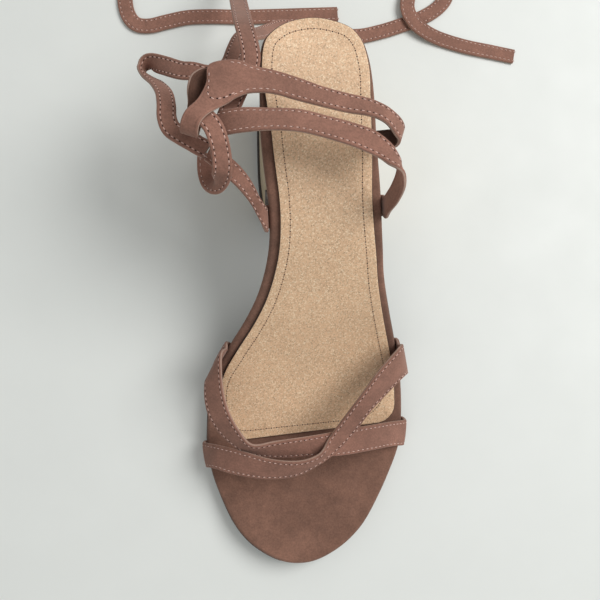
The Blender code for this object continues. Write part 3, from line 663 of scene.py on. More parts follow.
# Soft light: name, place, size and power of each lamp, and the point they face
LIGHTS = (
    ("key_light", (0.70, 0.25, 0.95), 0.8, 12.0),
    ("fill_light", (-0.3, -0.8, 1.2), 1.2, 2.0),
)
LIGHT_AIM = Vector((0, -0.06, 0.02))
WORLD_COLOUR = (0.98, 1.0, 1.0, 1)
WORLD_STRENGTH = 0.44
FLOOR_HALF = 3.0

# Thread, and dark dots of painted shade at the needle holes: length, width and height, and how far each one
# turns at random
STITCH_HEIGHT = 0.0004
STRAP_HOLE_SHADE = (0.00095, 0.00065, 0.0003)
SOCK_THREAD = (0.0014, 0.0003, 0.0002)
SOCK_HOLE_SHADE = (0.00065, 0.0006, 0.0002)
STITCH_WANDER = 0.05

# Lengths left without stitches: at a root, and at the collar's end behind its ring
ROOT_SKIP = 0.010
RING_SKIP = 0.0546

STITCH_LINES = []


class SandalSizes(bpy.types.PropertyGroup):
    """Sizes of the finish, over the solids' own sizes."""

    stitch_pitch: FloatProperty(name="Stitch pitch", description="Distance between strap stitches",
                                default=0.0022, min=0.001, unit="LENGTH", precision=4)
    stitch_length: FloatProperty(name="Stitch length", description="Length of the thread that shows",
                                 default=0.00135, min=0.0005, unit="LENGTH", precision=4)
    stitch_width: FloatProperty(name="Stitch width", description="Thickness of the thread",
                                default=0.00042, min=0.0001, unit="LENGTH", precision=5)
    sock_stitch_pitch: FloatProperty(name="Sock stitch pitch",
                                     description="Distance between insole stitches",
                                     default=0.0023, min=0.001, unit="LENGTH", precision=4)
    sock_stitch_inset: FloatProperty(name="Sock stitch inset",
                                     description="Distance of the row from the sock's edge",
                                     default=0.0038, min=0.001, unit="LENGTH", precision=4)


class SandalColours(bpy.types.PropertyGroup):
    """Base colours of the finishes."""

    # The straps' suede is lighter and the footbed's darker, partly from a different nap and partly as painted
    # light and shade: the raised straps lit, the lower footbed shaded
    suede: FloatVectorProperty(name="Suede", description="Brown suede of the straps and footbed",
                               subtype="COLOR", size=4, min=0, max=1, default=(0.246, 0.122, 0.088, 1))
    rim: FloatVectorProperty(name="Footbed suede", description="Darker suede wrapped round the footbed",
                             subtype="COLOR", size=4, min=0, max=1, default=(0.19, 0.098, 0.068, 1))
    sock: FloatVectorProperty(name="Insole", description="Tan leather of the insole",
                              subtype="COLOR", size=4, min=0, max=1, default=(0.70, 0.46, 0.28, 1))
    gold: FloatVectorProperty(name="Gold", description="Foil of the block heel",
                              subtype="COLOR", size=4, min=0, max=1, default=(0.60, 0.45, 0.25, 1))
    sole: FloatVectorProperty(name="Outsole", description="Dark sheet of the outsole",
                              subtype="COLOR", size=4, min=0, max=1, default=(0.050, 0.024, 0.017, 1))
    lift: FloatVectorProperty(name="Top lift", description="Rubber of the top lift",
                              subtype="COLOR", size=4, min=0, max=1, default=(0.030, 0.022, 0.018, 1))
    thread: FloatVectorProperty(name="Thread", description="Pale thread of the strap stitches",
                                subtype="COLOR", size=4, min=0, max=1, default=(0.60, 0.40, 0.34, 1))
    cut_edge: FloatVectorProperty(name="Cut edge", description="Raw edge of the straps",
                                  subtype="COLOR", size=4, min=0, max=1, default=(0.36, 0.24, 0.19, 1))
    floor: FloatVectorProperty(name="Floor", description="Plain pale floor",
                               subtype="COLOR", size=4, min=0, max=1, default=(0.69, 0.705, 0.675, 1))


def sizes():
    """The sizes set in the panel."""
    return bpy.context.scene.sandal_sizes


def colours():
    """The colours set in the panel."""
    return bpy.context.scene.sandal_colours


def feed(tree, slot, value):
    """Let an input follow a socket, or give it a value of its own."""
    if isinstance(value, bpy.types.NodeSocket):
        tree.links.new(value, slot)
    else:
        slot.default_value = value


def add_node(tree, kind, feeds=(), **settings):
    """Node with its settings; feeds gives inputs, by name or place, a socket or a value."""
    node = tree.nodes.new(kind)
    for key, value in settings.items():
        setattr(node, key, value)
    for key, value in dict(feeds).items():
        feed(tree, node.inputs[key], value)
    return node


def new_group(name, inputs, outputs):
    """Empty shader node group with named sockets, and its input and output nodes."""
    group = bpy.data.node_groups.new(name, "ShaderNodeTree")
    for label, kind, value in inputs:
        socket = group.interface.new_socket(label, in_out="INPUT", socket_type=kind)
        socket.default_value = value
    for label, kind in outputs:
        group.interface.new_socket(label, in_out="OUTPUT", socket_type=kind)
    return group, group.nodes.new("NodeGroupInput"), group.nodes.new("NodeGroupOutput")


def object_coords(tree):
    """The object's own coordinates."""
    return add_node(tree, "ShaderNodeTexCoord").outputs["Object"]


def scaled_noise(tree, scale, detail, rough):
    """Noise on the object's own coordinates."""
    feeds = {"Vector": object_coords(tree), "Scale": scale, "Detail": detail, "Roughness": rough}
    return add_node(tree, "ShaderNodeTexNoise", feeds).outputs["Fac"]


def spread(tree, value, low, high, ends=(0.3, 0.7)):
    """Map a value from between two ends to low and high, each a number or a socket."""
    feeds = {"Value": value, "From Min": ends[0], "From Max": ends[1], "To Min": low, "To Max": high}
    return add_node(tree, "ShaderNodeMapRange", feeds).outputs["Result"]


def maths(tree, operation, a, b):
    """Math node of two values or sockets."""
    return add_node(tree, "ShaderNodeMath", {0: a, 1: b}, operation=operation).outputs[0]


def tint(tree, colour, factor):
    """Colour times a value."""
    feeds = {0: colour, "Scale": factor}
    return add_node(tree, "ShaderNodeVectorMath", feeds, operation="SCALE").outputs[0]


def toned(tree, colour, factor):
    """Flat colour times a value."""
    base = add_node(tree, "ShaderNodeRGB")
    base.outputs[0].default_value = tuple(colour)
    return tint(tree, base.outputs[0], factor)


def mix_colour(tree, factor, a, b):
    """Mix of two colours, each a socket or a value."""
    return add_node(tree, "ShaderNodeMix", {"Factor": factor, 6: a, 7: b}, data_type="RGBA").outputs[2]


def suede_group():
    """Nap of suede: brushed patches, a fine grain and the height of the fibres."""
    if "suede_nap" in bpy.data.node_groups:
        return bpy.data.node_groups["suede_nap"]
    group, inner, outer = new_group(
        "suede_nap",
        (("Base", "NodeSocketColor", (0.25, 0.13, 0.1, 1)), ("Patches", "NodeSocketFloat", 0.2),
         ("Grain", "NodeSocketFloat", 0.2)),
        (("Colour", "NodeSocketColor"), ("Roughness", "NodeSocketFloat"), ("Height", "NodeSocketFloat")))
    given = inner.outputs
    brushed = scaled_noise(group, 240, 6, 0.7)
    grain = scaled_noise(group, 1300, 3, 0.75)
    low = maths(group, "SUBTRACT", 1.0, given["Patches"])
    high = maths(group, "ADD", 1.0, maths(group, "MULTIPLY", given["Patches"], 0.6))
    wide = spread(group, scaled_noise(group, 38, 5, 0.6), low, high, (0.32, 0.66))
    mid = spread(group, brushed, 0.84, 1.14)
    low = maths(group, "SUBTRACT", 1.0, given["Grain"])
    high = maths(group, "ADD", 1.0, given["Grain"])
    fine = spread(group, grain, low, high, (0.25, 0.75))
    shade = maths(group, "MULTIPLY", maths(group, "MULTIPLY", wide, mid), fine)
    fibres = maths(group, "ADD", maths(group, "MULTIPLY", grain, 0.6), maths(group, "MULTIPLY", brushed, 0.8))
    feed(group, outer.inputs["Colour"], tint(group, given["Base"], shade))
    feed(group, outer.inputs["Roughness"], spread(group, brushed, 0.80, 0.95))
    feed(group, outer.inputs["Height"], fibres)
    return group


def new_material(name, rough=0.6, metal=0.0, **extra):
    """Principled material, returned with its tree and shader."""
    material = bpy.data.materials.new(name)
    material.use_nodes = True
    tree = material.node_tree
    shader = tree.nodes["Principled BSDF"]
    shader.inputs["Roughness"].default_value = rough
    shader.inputs["Metallic"].default_value = metal
    for key, value in extra.items():
        shader.inputs[key.replace("_", " ")].default_value = value
    return material, tree, shader


def add_bump(tree, shader, height, strength, distance):
    """Bump on the shader from a height socket."""
    bump = add_node(tree, "ShaderNodeBump", {"Strength": strength, "Distance": distance, "Height": height})
    feed(tree, shader.inputs["Normal"], bump.outputs["Normal"])


def suede_material(name, colour, patches, grain, sheen):
    """Suede, from the nap group."""
    material, tree, shader = new_material(name, 0.9, Sheen_Weight=sheen, Sheen_Roughness=0.5,
                                          Sheen_Tint=(0.86, 0.70, 0.62, 1), Specular_IOR_Level=0.25)
    feeds = {"Base": tuple(colour), "Patches": patches, "Grain": grain}
    nap = add_node(tree, "ShaderNodeGroup", feeds, node_tree=suede_group()).outputs
    feed(tree, shader.inputs["Base Color"], nap["Colour"])
    feed(tree, shader.inputs["Roughness"], nap["Roughness"])
    add_bump(tree, shader, nap["Height"], 0.35, 0.0004)
    return material


def sock_material():
    """Tan leather with a fine woven grain, and pale flecks painted into its colour as a glint for a pearl
    sparkle.
    """
    material, tree, shader = new_material("sock_leather", 0.5)
    cells = add_node(tree, "ShaderNodeTexVoronoi", {"Vector": object_coords(tree), "Scale": 2300})
    pick = add_node(tree, "ShaderNodeSeparateColor", {0: cells.outputs["Color"]}).outputs
    painted_glint = spread(tree, pick[0], 0.0, 0.6, (0.70, 1.0))
    dark = spread(tree, pick[1], 1.0, 0.68, (0.40, 0.0))
    patches = spread(tree, scaled_noise(tree, 45, 4, 0.6), 0.92, 1.05)
    grain = scaled_noise(tree, 1100, 3, 0.7)
    shade = maths(tree, "MULTIPLY", maths(tree, "MULTIPLY", dark, patches), spread(tree, grain, 0.90, 1.08))
    body = toned(tree, colours().sock, shade)
    # Pale cells mixed into the colour: painted glint
    feed(tree, shader.inputs["Base Color"], mix_colour(tree, painted_glint, body, (0.95, 0.78, 0.55, 1)))
    feed(tree, shader.inputs["Roughness"], spread(tree, pick[2], 0.40, 0.60))
    height = maths(tree, "ADD", maths(tree, "MULTIPLY", pick[0], 0.5), grain)
    add_bump(tree, shader, height, 0.30, 0.0002)
    return material


def gold_material():
    """Gold foil: brushed lightly, duller where it has been touched."""
    material, tree, shader = new_material("gold_foil", 0.3, 0.85)
    grain = scaled_noise(tree, 900, 3, 0.6)
    patches = scaled_noise(tree, 60, 4, 0.6)
    shade = maths(tree, "MULTIPLY", spread(tree, grain, 0.9, 1.08), spread(tree, patches, 0.92, 1.04))
    feed(tree, shader.inputs["Base Color"], toned(tree, colours().gold, shade))
    feed(tree, shader.inputs["Roughness"], spread(tree, patches, 0.26, 0.42))
    add_bump(tree, shader, grain, 0.15, 0.0002)
    return material


def plain_material(name, colour, rough, scale, depth, wear=0.08):
    """Smooth sheet or rubber with a light texture and slightly uneven tone."""
    material, tree, shader = new_material(name, rough)
    grain = scaled_noise(tree, scale, 4, 0.6)
    patches = spread(tree, scaled_noise(tree, 40, 4, 0.6), 1 - wear, 1 + wear)
    feed(tree, shader.inputs["Base Color"], toned(tree, colour, patches))
    feed(tree, shader.inputs["Roughness"], spread(tree, grain, rough - 0.06, rough + 0.1))
    add_bump(tree, shader, grain, 0.25, depth)
    return material


def material(name):
    """Material of the given name, built the first time it is asked for."""
    if name not in bpy.data.materials:
        tone = colours()
        builders = {
            "strap_suede": lambda: suede_material(name, tone.suede, 0.20, 0.24, 0.25),
            # Footbed suede: darker than the straps', partly in its own nap, partly as painted shade
            "footbed_suede_and_shade": lambda: suede_material(name, tone.rim, 0.30, 0.26, 0.2),
            # Near-black underside of a strap: painted shade, for the shade inside the collar's ring
            "strap_back_shade": lambda: suede_material(name, (0.095, 0.045, 0.030, 1), 0.15, 0.2, 0.1),
            "cut_edge": lambda: suede_material(name, tone.cut_edge, 0.15, 0.2, 0.1),
            "sock_leather": sock_material,
            # Near-black edge of the insole: a dark cut edge with painted shade along it
            "sock_edge_and_shade": lambda: plain_material(name, (0.045, 0.025, 0.018, 1), 0.7, 900, 0.0002),
            "gold_foil": gold_material,
            "outsole_sheet": lambda: plain_material(name, tone.sole, 0.42, 500, 0.0003),
            "lift_rubber": lambda: plain_material(name, tone.lift, 0.6, 700, 0.0003),
            "pale_thread": lambda: plain_material(name, tone.thread, 0.6, 2500, 0.0001, 0.15),
            "dark_thread": lambda: plain_material(name, (0.20, 0.105, 0.065, 1), 0.6, 2500, 0.0001),
            # Near-black dots at the needle holes: painted shade in the holes
            "painted_hole_shade": lambda: plain_material(name, (0.035, 0.014, 0.011, 1), 0.9, 900, 0.0001),
        }
        builders[name]()
    return bpy.data.materials[name]


def new_object(name, data):
    """Object in the scene's collection."""
    item = bpy.data.objects.new(name, data)
    bpy.context.scene.collection.objects.link(item)
    return item


def add_piece(name, mesh, slot, *nodes):
    """Piece of the finished part, riding on its one body, in place of CAD nodes."""
    item = new_object(name, mesh)
    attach(item, "root")
    if nodes:
        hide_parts(*nodes)
    return item


def finished_mesh(bm, name, looks, angle):
    """Mesh with its materials, its faces smooth up to an angle."""
    bmesh.ops.recalc_face_normals(bm, faces=bm.faces)
    mesh = bpy.data.meshes.new(name)
    bm.to_mesh(mesh)
    bm.free()
    for label in looks:
        mesh.materials.append(material(label))
    for face in mesh.polygons:
        face.use_smooth = True
    mesh.set_sharp_from_angle(angle=math.radians(angle))
    return mesh


def sheet_grid(medial, lateral, columns, place):
    """Grid of points between two plan edges, placed by a function of the plan point."""
    grid = []
    for a, b in zip(medial, lateral):
        spots = [blend(a, b, c / columns) for c in range(columns + 1)]
        grid.append([place(spot.x, spot.y) for spot in spots])
    return grid


def stack_mesh(name, levels, top, wall=None, wall_from=0):
    """Mesh from a stack of point grids of one size, with a material for its top and its walls."""
    tall, wide = len(levels[0]), len(levels[0][0])
    border = [(0, c) for c in range(wide)]
    border += [(r, wide - 1) for r in range(1, tall)]
    border += [(tall - 1, c) for c in range(wide - 2, -1, -1)]
    border += [(r, 0) for r in range(tall - 2, 0, -1)]
    edge = set(border)
    bm = bmesh.new()
    stack = []
    for depth, grid in enumerate(levels):
        cap = depth in (0, len(levels) - 1)
        stack.append({(r, c): bm.verts.new(grid[r][c]) for r in range(tall) for c in range(wide)
                      if cap or (r, c) in edge})
    for mark, spots in ((0, stack[0]), (2, stack[-1])):
        for r in range(tall - 1):
            for c in range(wide - 1):
                ring = ((r, c), (r + 1, c), (r + 1, c + 1), (r, c + 1))
                face = bm.faces.new([spots[spot] for spot in ring])
                face.material_index = mark
    for depth, (upper, lower) in enumerate(zip(stack, stack[1:])):
        for i, here in enumerate(border):
            after = border[(i + 1) % len(border)]
            face = bm.faces.new((upper[here], upper[after], lower[after], lower[here]))
            face.material_index = 0 if depth < wall_from else 1
    bmesh.ops.remove_doubles(bm, verts=bm.verts, dist=0.000005)
    return finished_mesh(bm, name, (top, wall or top, wall or top), 40)


def flat_layer(inset, rise, cupped=False):
    """Level of a layer under the last line: the outline moved in, at one rise."""
    medial, lateral = plan_rows(inset)
    return sheet_grid(medial, lateral, SOLE_COLUMNS, lambda x, y: on_line(x, y, rise, cupped))


def footbed_mesh():
    """Suede-wrapped footbed: a rounded rim, a middle level, then a lower edge that draws in."""
    levels = [flat_layer(EDGE_ROUND, 0.0, True)]
    for turn in (25, 50, 75, 90):
        angle = math.radians(turn)
        inset = EDGE_ROUND * (1 - math.sin(angle))
        levels.append(flat_layer(round(inset, 6), -EDGE_ROUND * (1 - math.cos(angle))))
    half_way = -FOOTBED_THICK * FOOTBED_MIDDLE
    levels.append(flat_layer(lambda side, share: drawn_in(side, share) * 0.5, half_way))
    for turn in (0, 45, 90):
        angle = math.radians(turn)
        inset = EDGE_ROUND * LOWER_ROUND * (1 - math.cos(angle))
        rise = EDGE_ROUND * LOWER_ROUND * (1 - math.sin(angle)) - FOOTBED_THICK
        levels.append(flat_layer(lambda side, share, i=inset: drawn_in(side, share) + i, rise))
    return stack_mesh("footbed_wrap", levels, "footbed_suede_and_shade")


def sock_inset(side, share):
    """Distance of the sock from the outline, on one side at a share of the length."""
    return RIM_WIDTH * lookup(column(SOCK_INSET, 0), column(SOCK_INSET, side), share)


def sock_edges(trim):
    """Plan edges of the sock, moved in by a trim, down to a straight front with round corners."""

    def inset(side, share):
        return trim + sock_inset(side, share)

    edges = []
    for points, share in zip(plan_rows(inset), SOCK_FRONT):
        front = y_at(share) + trim
        rows = points[:SOCK_FULL_ROWS]
        gap = (rows[-1].y - front - SOCK_CORNER) / 9
        for k in range(1, 10):
            y = points[SOCK_FULL_ROWS - 1].y - gap * k
            rows.append(Vector((along_y(points, y), y)))
        inward = 1 if rows[-1].x < 0 else -1
        for turn in (15, 30, 45, 60, 75, 90):
            y = front + SOCK_CORNER * (1 - math.sin(math.radians(turn)))
            x = along_y(points, y) + inward * SOCK_CORNER * (1 - math.cos(math.radians(turn)))
            rows.append(Vector((x, y)))
        edges.append(rows)
    return edges


def sock_stitch_path():
    """Plan path of the insole's stitch row: round the heel, then across behind the front edge."""
    size = sizes().sock_stitch_inset

    def inset(side, share):
        part = min(max((share - SOCK_EASE_START) / SOCK_EASE_RUN, 0.0), 1.0) if side == 1 else 0.0
        return size - SOCK_STITCH_EASE * part + sock_inset(side, share)

    rows, corners = [], []
    for points, share, round_in in zip(plan_rows(inset), SOCK_FRONT, SOCK_STITCH_CORNERS):
        front = y_at(share) + SOCK_STITCH_FRONT
        kept = [p for p in points if p.y > front + round_in]
        kept.append(Vector((along_y(points, front + round_in), front + round_in)))
        rows.append(kept)
        corners.append((Vector((along_y(points, front), front)), round_in))
    (left, left_in), (right, right_in) = corners
    run = (right - left).normalized()
    front_left, front_right = left + run * left_in, right - run * right_in
    bends = []
    for start, middle, end in ((rows[1][-1], right, front_right), (front_left, left, rows[0][-1])):
        turn = [k / 10 for k in range(11)]
        bends.append([blend(blend(start, middle, t), blend(middle, end, t), t) for t in turn])
    row = [blend(front_right, front_left, k / 20) for k in range(1, 20)]
    return rows[0][::-1] + rows[1][1:] + bends[0][1:] + row + bends[1]


def sock_mesh():
    """Insole sock with a thin cut edge, near black: partly its own dark edge, partly painted shade along it.
    """
    levels = []
    for depth, trim in SOCK_EDGE:
        rise = GAP + SOCK_THICK * depth
        medial, lateral = sock_edges(trim)
        levels.append(sheet_grid(medial, lateral, SOLE_COLUMNS,
                                 lambda x, y, r=rise: on_line(x, y, r, True)))
    loop = sock_stitch_path()
    spots = [on_line(p.x, p.y, GAP + SOCK_THICK, True) for p in loop]
    ups = [on_line(p.x, p.y, 1.0) - on_line(p.x, p.y, 0.0) for p in loop]
    STITCH_LINES.append(("sock", spots, ups))
    return stack_mesh("insole_leather", levels, "sock_leather", "sock_edge_and_shade", 1)


def heel_grid(level, inset, front, place):
    """Grid of one level of the heel: the outline's back, cut at the front and raked in."""
    back = BACK_Y - inset
    rake = level * (HEEL_BACK_RAKE - HEEL_TAPER + LIFT_LIP)
    grid = []
    for t in HEEL_ROWS:
        source = blend(back, front, t)
        low, high = edges_at(source, inset)
        if t == 0.0:
            low = high = (low + high) / 2
        corner = HEEL_CORNER * HEEL_CORNER_TURN.get(t, 0.0)
        low, high = low + corner, high - corner
        y = source - (1 - t) * rake
        grid.append([place(blend(low, high, c / HEEL_COLUMNS), y) for c in range(HEEL_COLUMNS + 1)])
    return grid


def heel_mesh():
    """Foil-covered block, its breast following the fillet."""
    levels = []
    for level in HEEL_LEVELS:
        inset = round(blend(HEEL_TOP_INSET, HEEL_TAPER, level), 6)
        grip = max(level, HEEL_LEVELS[1])
        front = BREAST[0] + BREAST_RADIUS
        for _ in range(12):
            front = breast_y(blend(under_height(front), HEEL_FOOT_Z, grip), BREAST_RADIUS + GAP)

        def place(x, y, v=level):
            return Vector((x, y, blend(under_height(y), HEEL_FOOT_Z, v)))

        levels.append(heel_grid(level, inset, front, place))
    return stack_mesh("heel_foil", levels, "gold_foil")


def lift_mesh():
    """Top lift with softened edges."""
    front = y_at((HEEL_BACK_RAKE + HEEL_FOOT_LENGTH) / SOLE_LENGTH)
    levels = []
    for z, trim in LIFT_EDGE:
        inset = round(HEEL_TAPER - LIFT_LIP + trim, 6)
        levels.append(heel_grid(1.0, inset, front + trim, lambda x, y, h=z: Vector((x, y, h))))
    return stack_mesh("lift_block", levels, "lift_rubber")


def outsole_stations():
    """Stations of the outsole's inner face: point, outward direction, plan position, two insets."""
    stations = []
    centre_y, centre_z, touch = BREAST
    for medial in OUTLINE_ROWS[0][::-1]:
        if medial.y < touch - 0.002:
            spot = on_line(0.0, medial.y, UNDER_FOOTBED)
            out = (spot - on_line(0.0, medial.y, 0.0)).normalized()
            stations.append((spot, out, medial.y, waist(share_at(medial.y), 2), -OUTSOLE_LIP))
    start = waist(share_at(touch), 2)
    for k in range(15):
        angle = math.radians(blend(TOUCH_TURN, 90, k / 14))
        out = Vector((0, -math.sin(angle), -math.cos(angle)))
        spot = Vector((0, centre_y, centre_z)) - out * BREAST_RADIUS
        insets = blend(start, HEEL_TOP_INSET, k / 14), blend(-OUTSOLE_LIP, HEEL_TOP_INSET, k / 14)
        stations.append((spot, out, spot.y, *insets))
    for k in range(1, 9):
        z = blend(centre_z, HEEL_FOOT_Z, k / 8)
        spot = Vector((0, breast_y(z, BREAST_RADIUS), z))
        inset = blend(HEEL_TOP_INSET, HEEL_TAPER, k / 8)
        stations.append((spot, Vector((0, -1, 0)), spot.y, inset, inset))
    return stations


def outsole_mesh():
    """Outsole from the toe along the shank, over the fillet and down the heel breast."""
    levels = []
    for depth, trim in OUTSOLE_EDGE:
        grid = []
        for spot, out, y, medial, lateral in outsole_stations():
            low = edges_at(y, round(medial + trim, 5))[0]
            high = edges_at(y, round(lateral + trim, 5))[1]
            if y <= OUTLINE_ROWS[0][-1].y + 0.00001:
                low = high = OUTLINE_ROWS[0][-1].x
            place = spot + out * OUTSOLE_THICK * depth
            across_x = [blend(low, high, c / OUTSOLE_COLUMNS) for c in range(OUTSOLE_COLUMNS + 1)]
            grid.append([Vector((x, place.y, place.z)) for x in across_x])
        levels.append(grid)
    return stack_mesh("outsole_sheet", levels, "outsole_sheet")


# Cross-section of a strap: distance from the edge, share of the half thickness. The low point is
# the pressed line that the stitches lie in
STRAP_EDGE = (
    (0.0, 0.42),
    (0.00018, 0.78),
    (0.0005, 1.0),
    (0.0009, 0.97),
    (0.0012, 0.82),
    (0.0015, 0.97),
    (0.0019, 1.0),
)
STITCH_COLUMN = 4

# Curved stitch row that closes the collar's ring, in shares of the collar's length and width
RING_START = 0.61
RING_MIDDLE = 0.645
RING_REACH = 0.042
RING_LEAN = 0.012
RING_LOW = 0.12
RING_HIGH = 0.86


def ring_stitch_path():
    """Ring's stitch row: a straight lead, then half of a leaning oval across the strap."""
    centre = (RING_LOW + RING_HIGH) / 2
    path = [(RING_START, RING_LOW)]
    for k in range(9):
        turn = math.pi * (k / 8 - 0.5)
        along = RING_MIDDLE + RING_REACH * math.cos(turn) + RING_LEAN * math.sin(turn)
        path.append((along, centre + (RING_HIGH - centre) * math.sin(turn)))
    return path


def across(row, share):
    """Point of a row at a share of its width."""
    spans = len(row) - 1
    i = min(int(share * spans), spans - 1)
    return blend(row[i], row[i + 1], share * spans - i)


def resample(rows):
    """Rows at an even spacing along their middle, smooth between the given ones."""
    lines = [curve_through(list(points), ROW_STEPS) for points in zip(*rows)]
    fine = list(zip(*lines))
    mids = [across(row, 0.5) for row in fine]
    walked = [0.0]
    for a, b in zip(mids, mids[1:]):
        walked.append(walked[-1] + (b - a).length)
    count = max(2, round(walked[-1] / STRAP_SPACING))
    out, k = [], 0
    for i in range(count + 1):
        at = walked[-1] * i / count
        while k < len(walked) - 2 and walked[k + 1] < at:
            k += 1
        t = (at - walked[k]) / max(walked[k + 1] - walked[k], 1e-9)
        out.append([blend(a, b, min(max(t, 0.0), 1.0)) for a, b in zip(fine[k], fine[k + 1])])
    return out, walked[-1]


def strap_grid(rows, spans):
    """Points across each row: the edge's profile at both sides, even columns between."""
    grid = []
    for row in rows:
        width = sum((b - a).length for a, b in zip(row, row[1:]))
        front = [d / width for d, _ in STRAP_EDGE]
        inner = [blend(front[-1], 1 - front[-1], k / spans) for k in range(1, spans)]
        grid.append([across(row, s) for s in front + inner + [1 - f for f in front[::-1]]])
    return grid


def sheet_normals(grid):
    """Normals of a sheet of points, facing up on the whole."""
    tall, wide = len(grid), len(grid[0])
    normals = []
    for r in range(tall):
        line = []
        for c in range(wide):
            along = grid[min(r + 1, tall - 1)][c] - grid[max(r - 1, 0)][c]
            sideways = grid[r][min(c + 1, wide - 1)] - grid[r][max(c - 1, 0)]
            line.append(along.cross(sideways).normalized())
        normals.append(line)
    if sum(line[wide // 2].z for line in normals) < 0:
        normals = [[-n for n in line] for line in normals]
    return normals


def sheet_faces(bm, upper, lower, back):
    """Close a strap between its upper and lower points; back is the lower faces' material."""
    tall, wide = len(upper), len(upper[0])
    faces = []
    for r in range(tall - 1):
        for c in range(wide - 1):
            faces.append(((upper[r][c], upper[r + 1][c], upper[r + 1][c + 1], upper[r][c + 1]), 0))
            faces.append(((lower[r][c], lower[r][c + 1], lower[r + 1][c + 1], lower[r + 1][c]), back))
        for c in (0, wide - 1):
            faces.append(((upper[r][c], lower[r][c], lower[r + 1][c], upper[r + 1][c]), 1))
    for r in (0, tall - 1):
        for c in range(wide - 1):
            faces.append(((upper[r][c], upper[r][c + 1], lower[r][c + 1], lower[r][c]), 1))
    for corners, mark in faces:
        bm.faces.new(corners).material_index = mark


def note_path(path, rows, normals, thick):
    """Note a stitch row along a path of shares over the strap's upper side."""
    spots, ups = [], []
    for spot in curve_through([Vector((along, share, 0)) for along, share in path], 6):
        at = spot.x * (len(rows) - 1)
        r = min(int(at), len(rows) - 2)
        up = normals[r][len(normals[r]) // 2]
        spots.append(blend(across(rows[r], spot.y), across(rows[r + 1], spot.y), at - r) + up * thick / 2)
        ups.append(up)
    STITCH_LINES.append(("strap", spots, ups))


def strap_mesh(name, rows, thick, skip=(0.0, 0.0), sides=(1,), spans=6, lined=False, path=()):
    """Closed strap with soft edges and pressed stitch lines; notes its stitch rows."""
    rows, length = resample(rows)
    grid = strap_grid(rows, spans)
    normals = sheet_normals(grid)
    heights = [h for _, h in STRAP_EDGE]
    heights = heights + [1.0] * (spans - 1) + heights[::-1]
    bm = bmesh.new()
    layers = []
    for sign in (1, -1):
        layers.append([[bm.verts.new(p + n * sign * h * thick / 2) for p, n, h in zip(line, rise, heights)]
                       for line, rise in zip(grid, normals)])
    # With a shaded underside the lower faces take the near-black material, painted shade; otherwise they are
    # suede
    sheet_faces(bm, *layers, 2 if lined else 0)
    end = len(grid) - 1
    run = range(round(skip[0] / length * end), end - round(skip[1] / length * end) + 1)
    for c in (STITCH_COLUMN, len(heights) - 1 - STITCH_COLUMN):
        for sign in sides:
            spots = [grid[r][c] + normals[r][c] * sign * heights[c] * thick / 2 for r in run]
            STITCH_LINES.append(("strap", spots, [normals[r][c] * sign for r in run]))
    if path:
        note_path(path, rows, normals, thick)
    return finished_mesh(bm, name, ("strap_suede", "cut_edge", "strap_back_shade"), 50)


def add_strap(name, rows, *nodes, thick=STRAP_THICK, **form):
    """Piece of brown suede from a strap's rows."""
    return add_piece(name, strap_mesh(name, rows, thick, **form), "suede", *nodes)


def route_points(table):
    """Points of a tie's route, in metres."""
    return [(x * BALL_WIDTH, y_at(along), z * TIE_TOP) for x, along, z, _ in table]


def route_length(table):
    """Length along a tie's smooth route."""
    points = curve_through([Vector(point) for point in route_points(table)], 8)
    return sum((b - a).length for a, b in zip(points, points[1:]))


def stitch_tree():
    """Geometry nodes: one small rounded piece of thread, or a dark dot of painted hole shade, per step along
    each line.
    """
    if "stitch_row" in bpy.data.node_groups:
        return bpy.data.node_groups["stitch_row"]
    tree = bpy.data.node_groups.new("stitch_row", "GeometryNodeTree")
    tree.interface.new_socket("Geometry", in_out="INPUT", socket_type="NodeSocketGeometry")
    for label in ("Pitch", "Start", "Length", "Width", "Height", "Wander"):
        tree.interface.new_socket(label, in_out="INPUT", socket_type="NodeSocketFloat")
    tree.interface.new_socket("Material", in_out="INPUT", socket_type="NodeSocketMaterial")
    tree.interface.new_socket("Geometry", in_out="OUTPUT", socket_type="NodeSocketGeometry")
    given = tree.nodes.new("NodeGroupInput").outputs
    outer = tree.nodes.new("NodeGroupOutput")

    def made(kind, feeds=(), output=0, **settings):
        return add_node(tree, kind, feeds, **settings).outputs[output]

    curve = made("GeometryNodeMeshToCurve", {0: given["Geometry"]})
    end = maths(tree, "SUBTRACT", made("GeometryNodeCurveLength", {0: curve}), given["Start"])
    trim = made("GeometryNodeTrimCurve", {"Curve": curve, 4: given["Start"], 5: end}, mode="LENGTH")
    even = made("GeometryNodeResampleCurve", {"Curve": trim, "Length": given["Pitch"]}, mode="LENGTH")
    up = made("GeometryNodeInputNamedAttribute", {"Name": "up"}, "Attribute", data_type="FLOAT_VECTOR")
    ahead = made("FunctionNodeAlignRotationToVector", {"Vector": made("GeometryNodeInputTangent")}, axis="X")
    upright = made("FunctionNodeAlignRotationToVector", {"Rotation": ahead, "Vector": up},
                   axis="Z", pivot_axis="X")
    least = maths(tree, "MULTIPLY", given["Wander"], -1.0)
    wander = made("FunctionNodeRandomValue", {2: least, 3: given["Wander"], "Seed": 7}, 1, data_type="FLOAT")
    turn = made("ShaderNodeCombineXYZ", {"Z": wander})
    twist = made("FunctionNodeRotateRotation", {"Rotation": upright, "Rotate By": turn},
                 rotation_space="LOCAL")
    ball = made("GeometryNodeMeshUVSphere", {"Segments": 8, "Rings": 5, "Radius": 0.5})
    size = made("ShaderNodeCombineXYZ", {"X": given["Length"], "Y": given["Width"], "Z": given["Height"]})
    place = made("GeometryNodeInstanceOnPoints",
                 {"Points": even, "Instance": ball, "Rotation": twist, "Scale": size})
    real = made("GeometryNodeSetShadeSmooth", {0: made("GeometryNodeRealizeInstances", {0: place})})
    paint = made("GeometryNodeSetMaterial", {"Geometry": real, "Material": given["Material"]})
    feed(tree, outer.inputs[0], paint)
    return tree


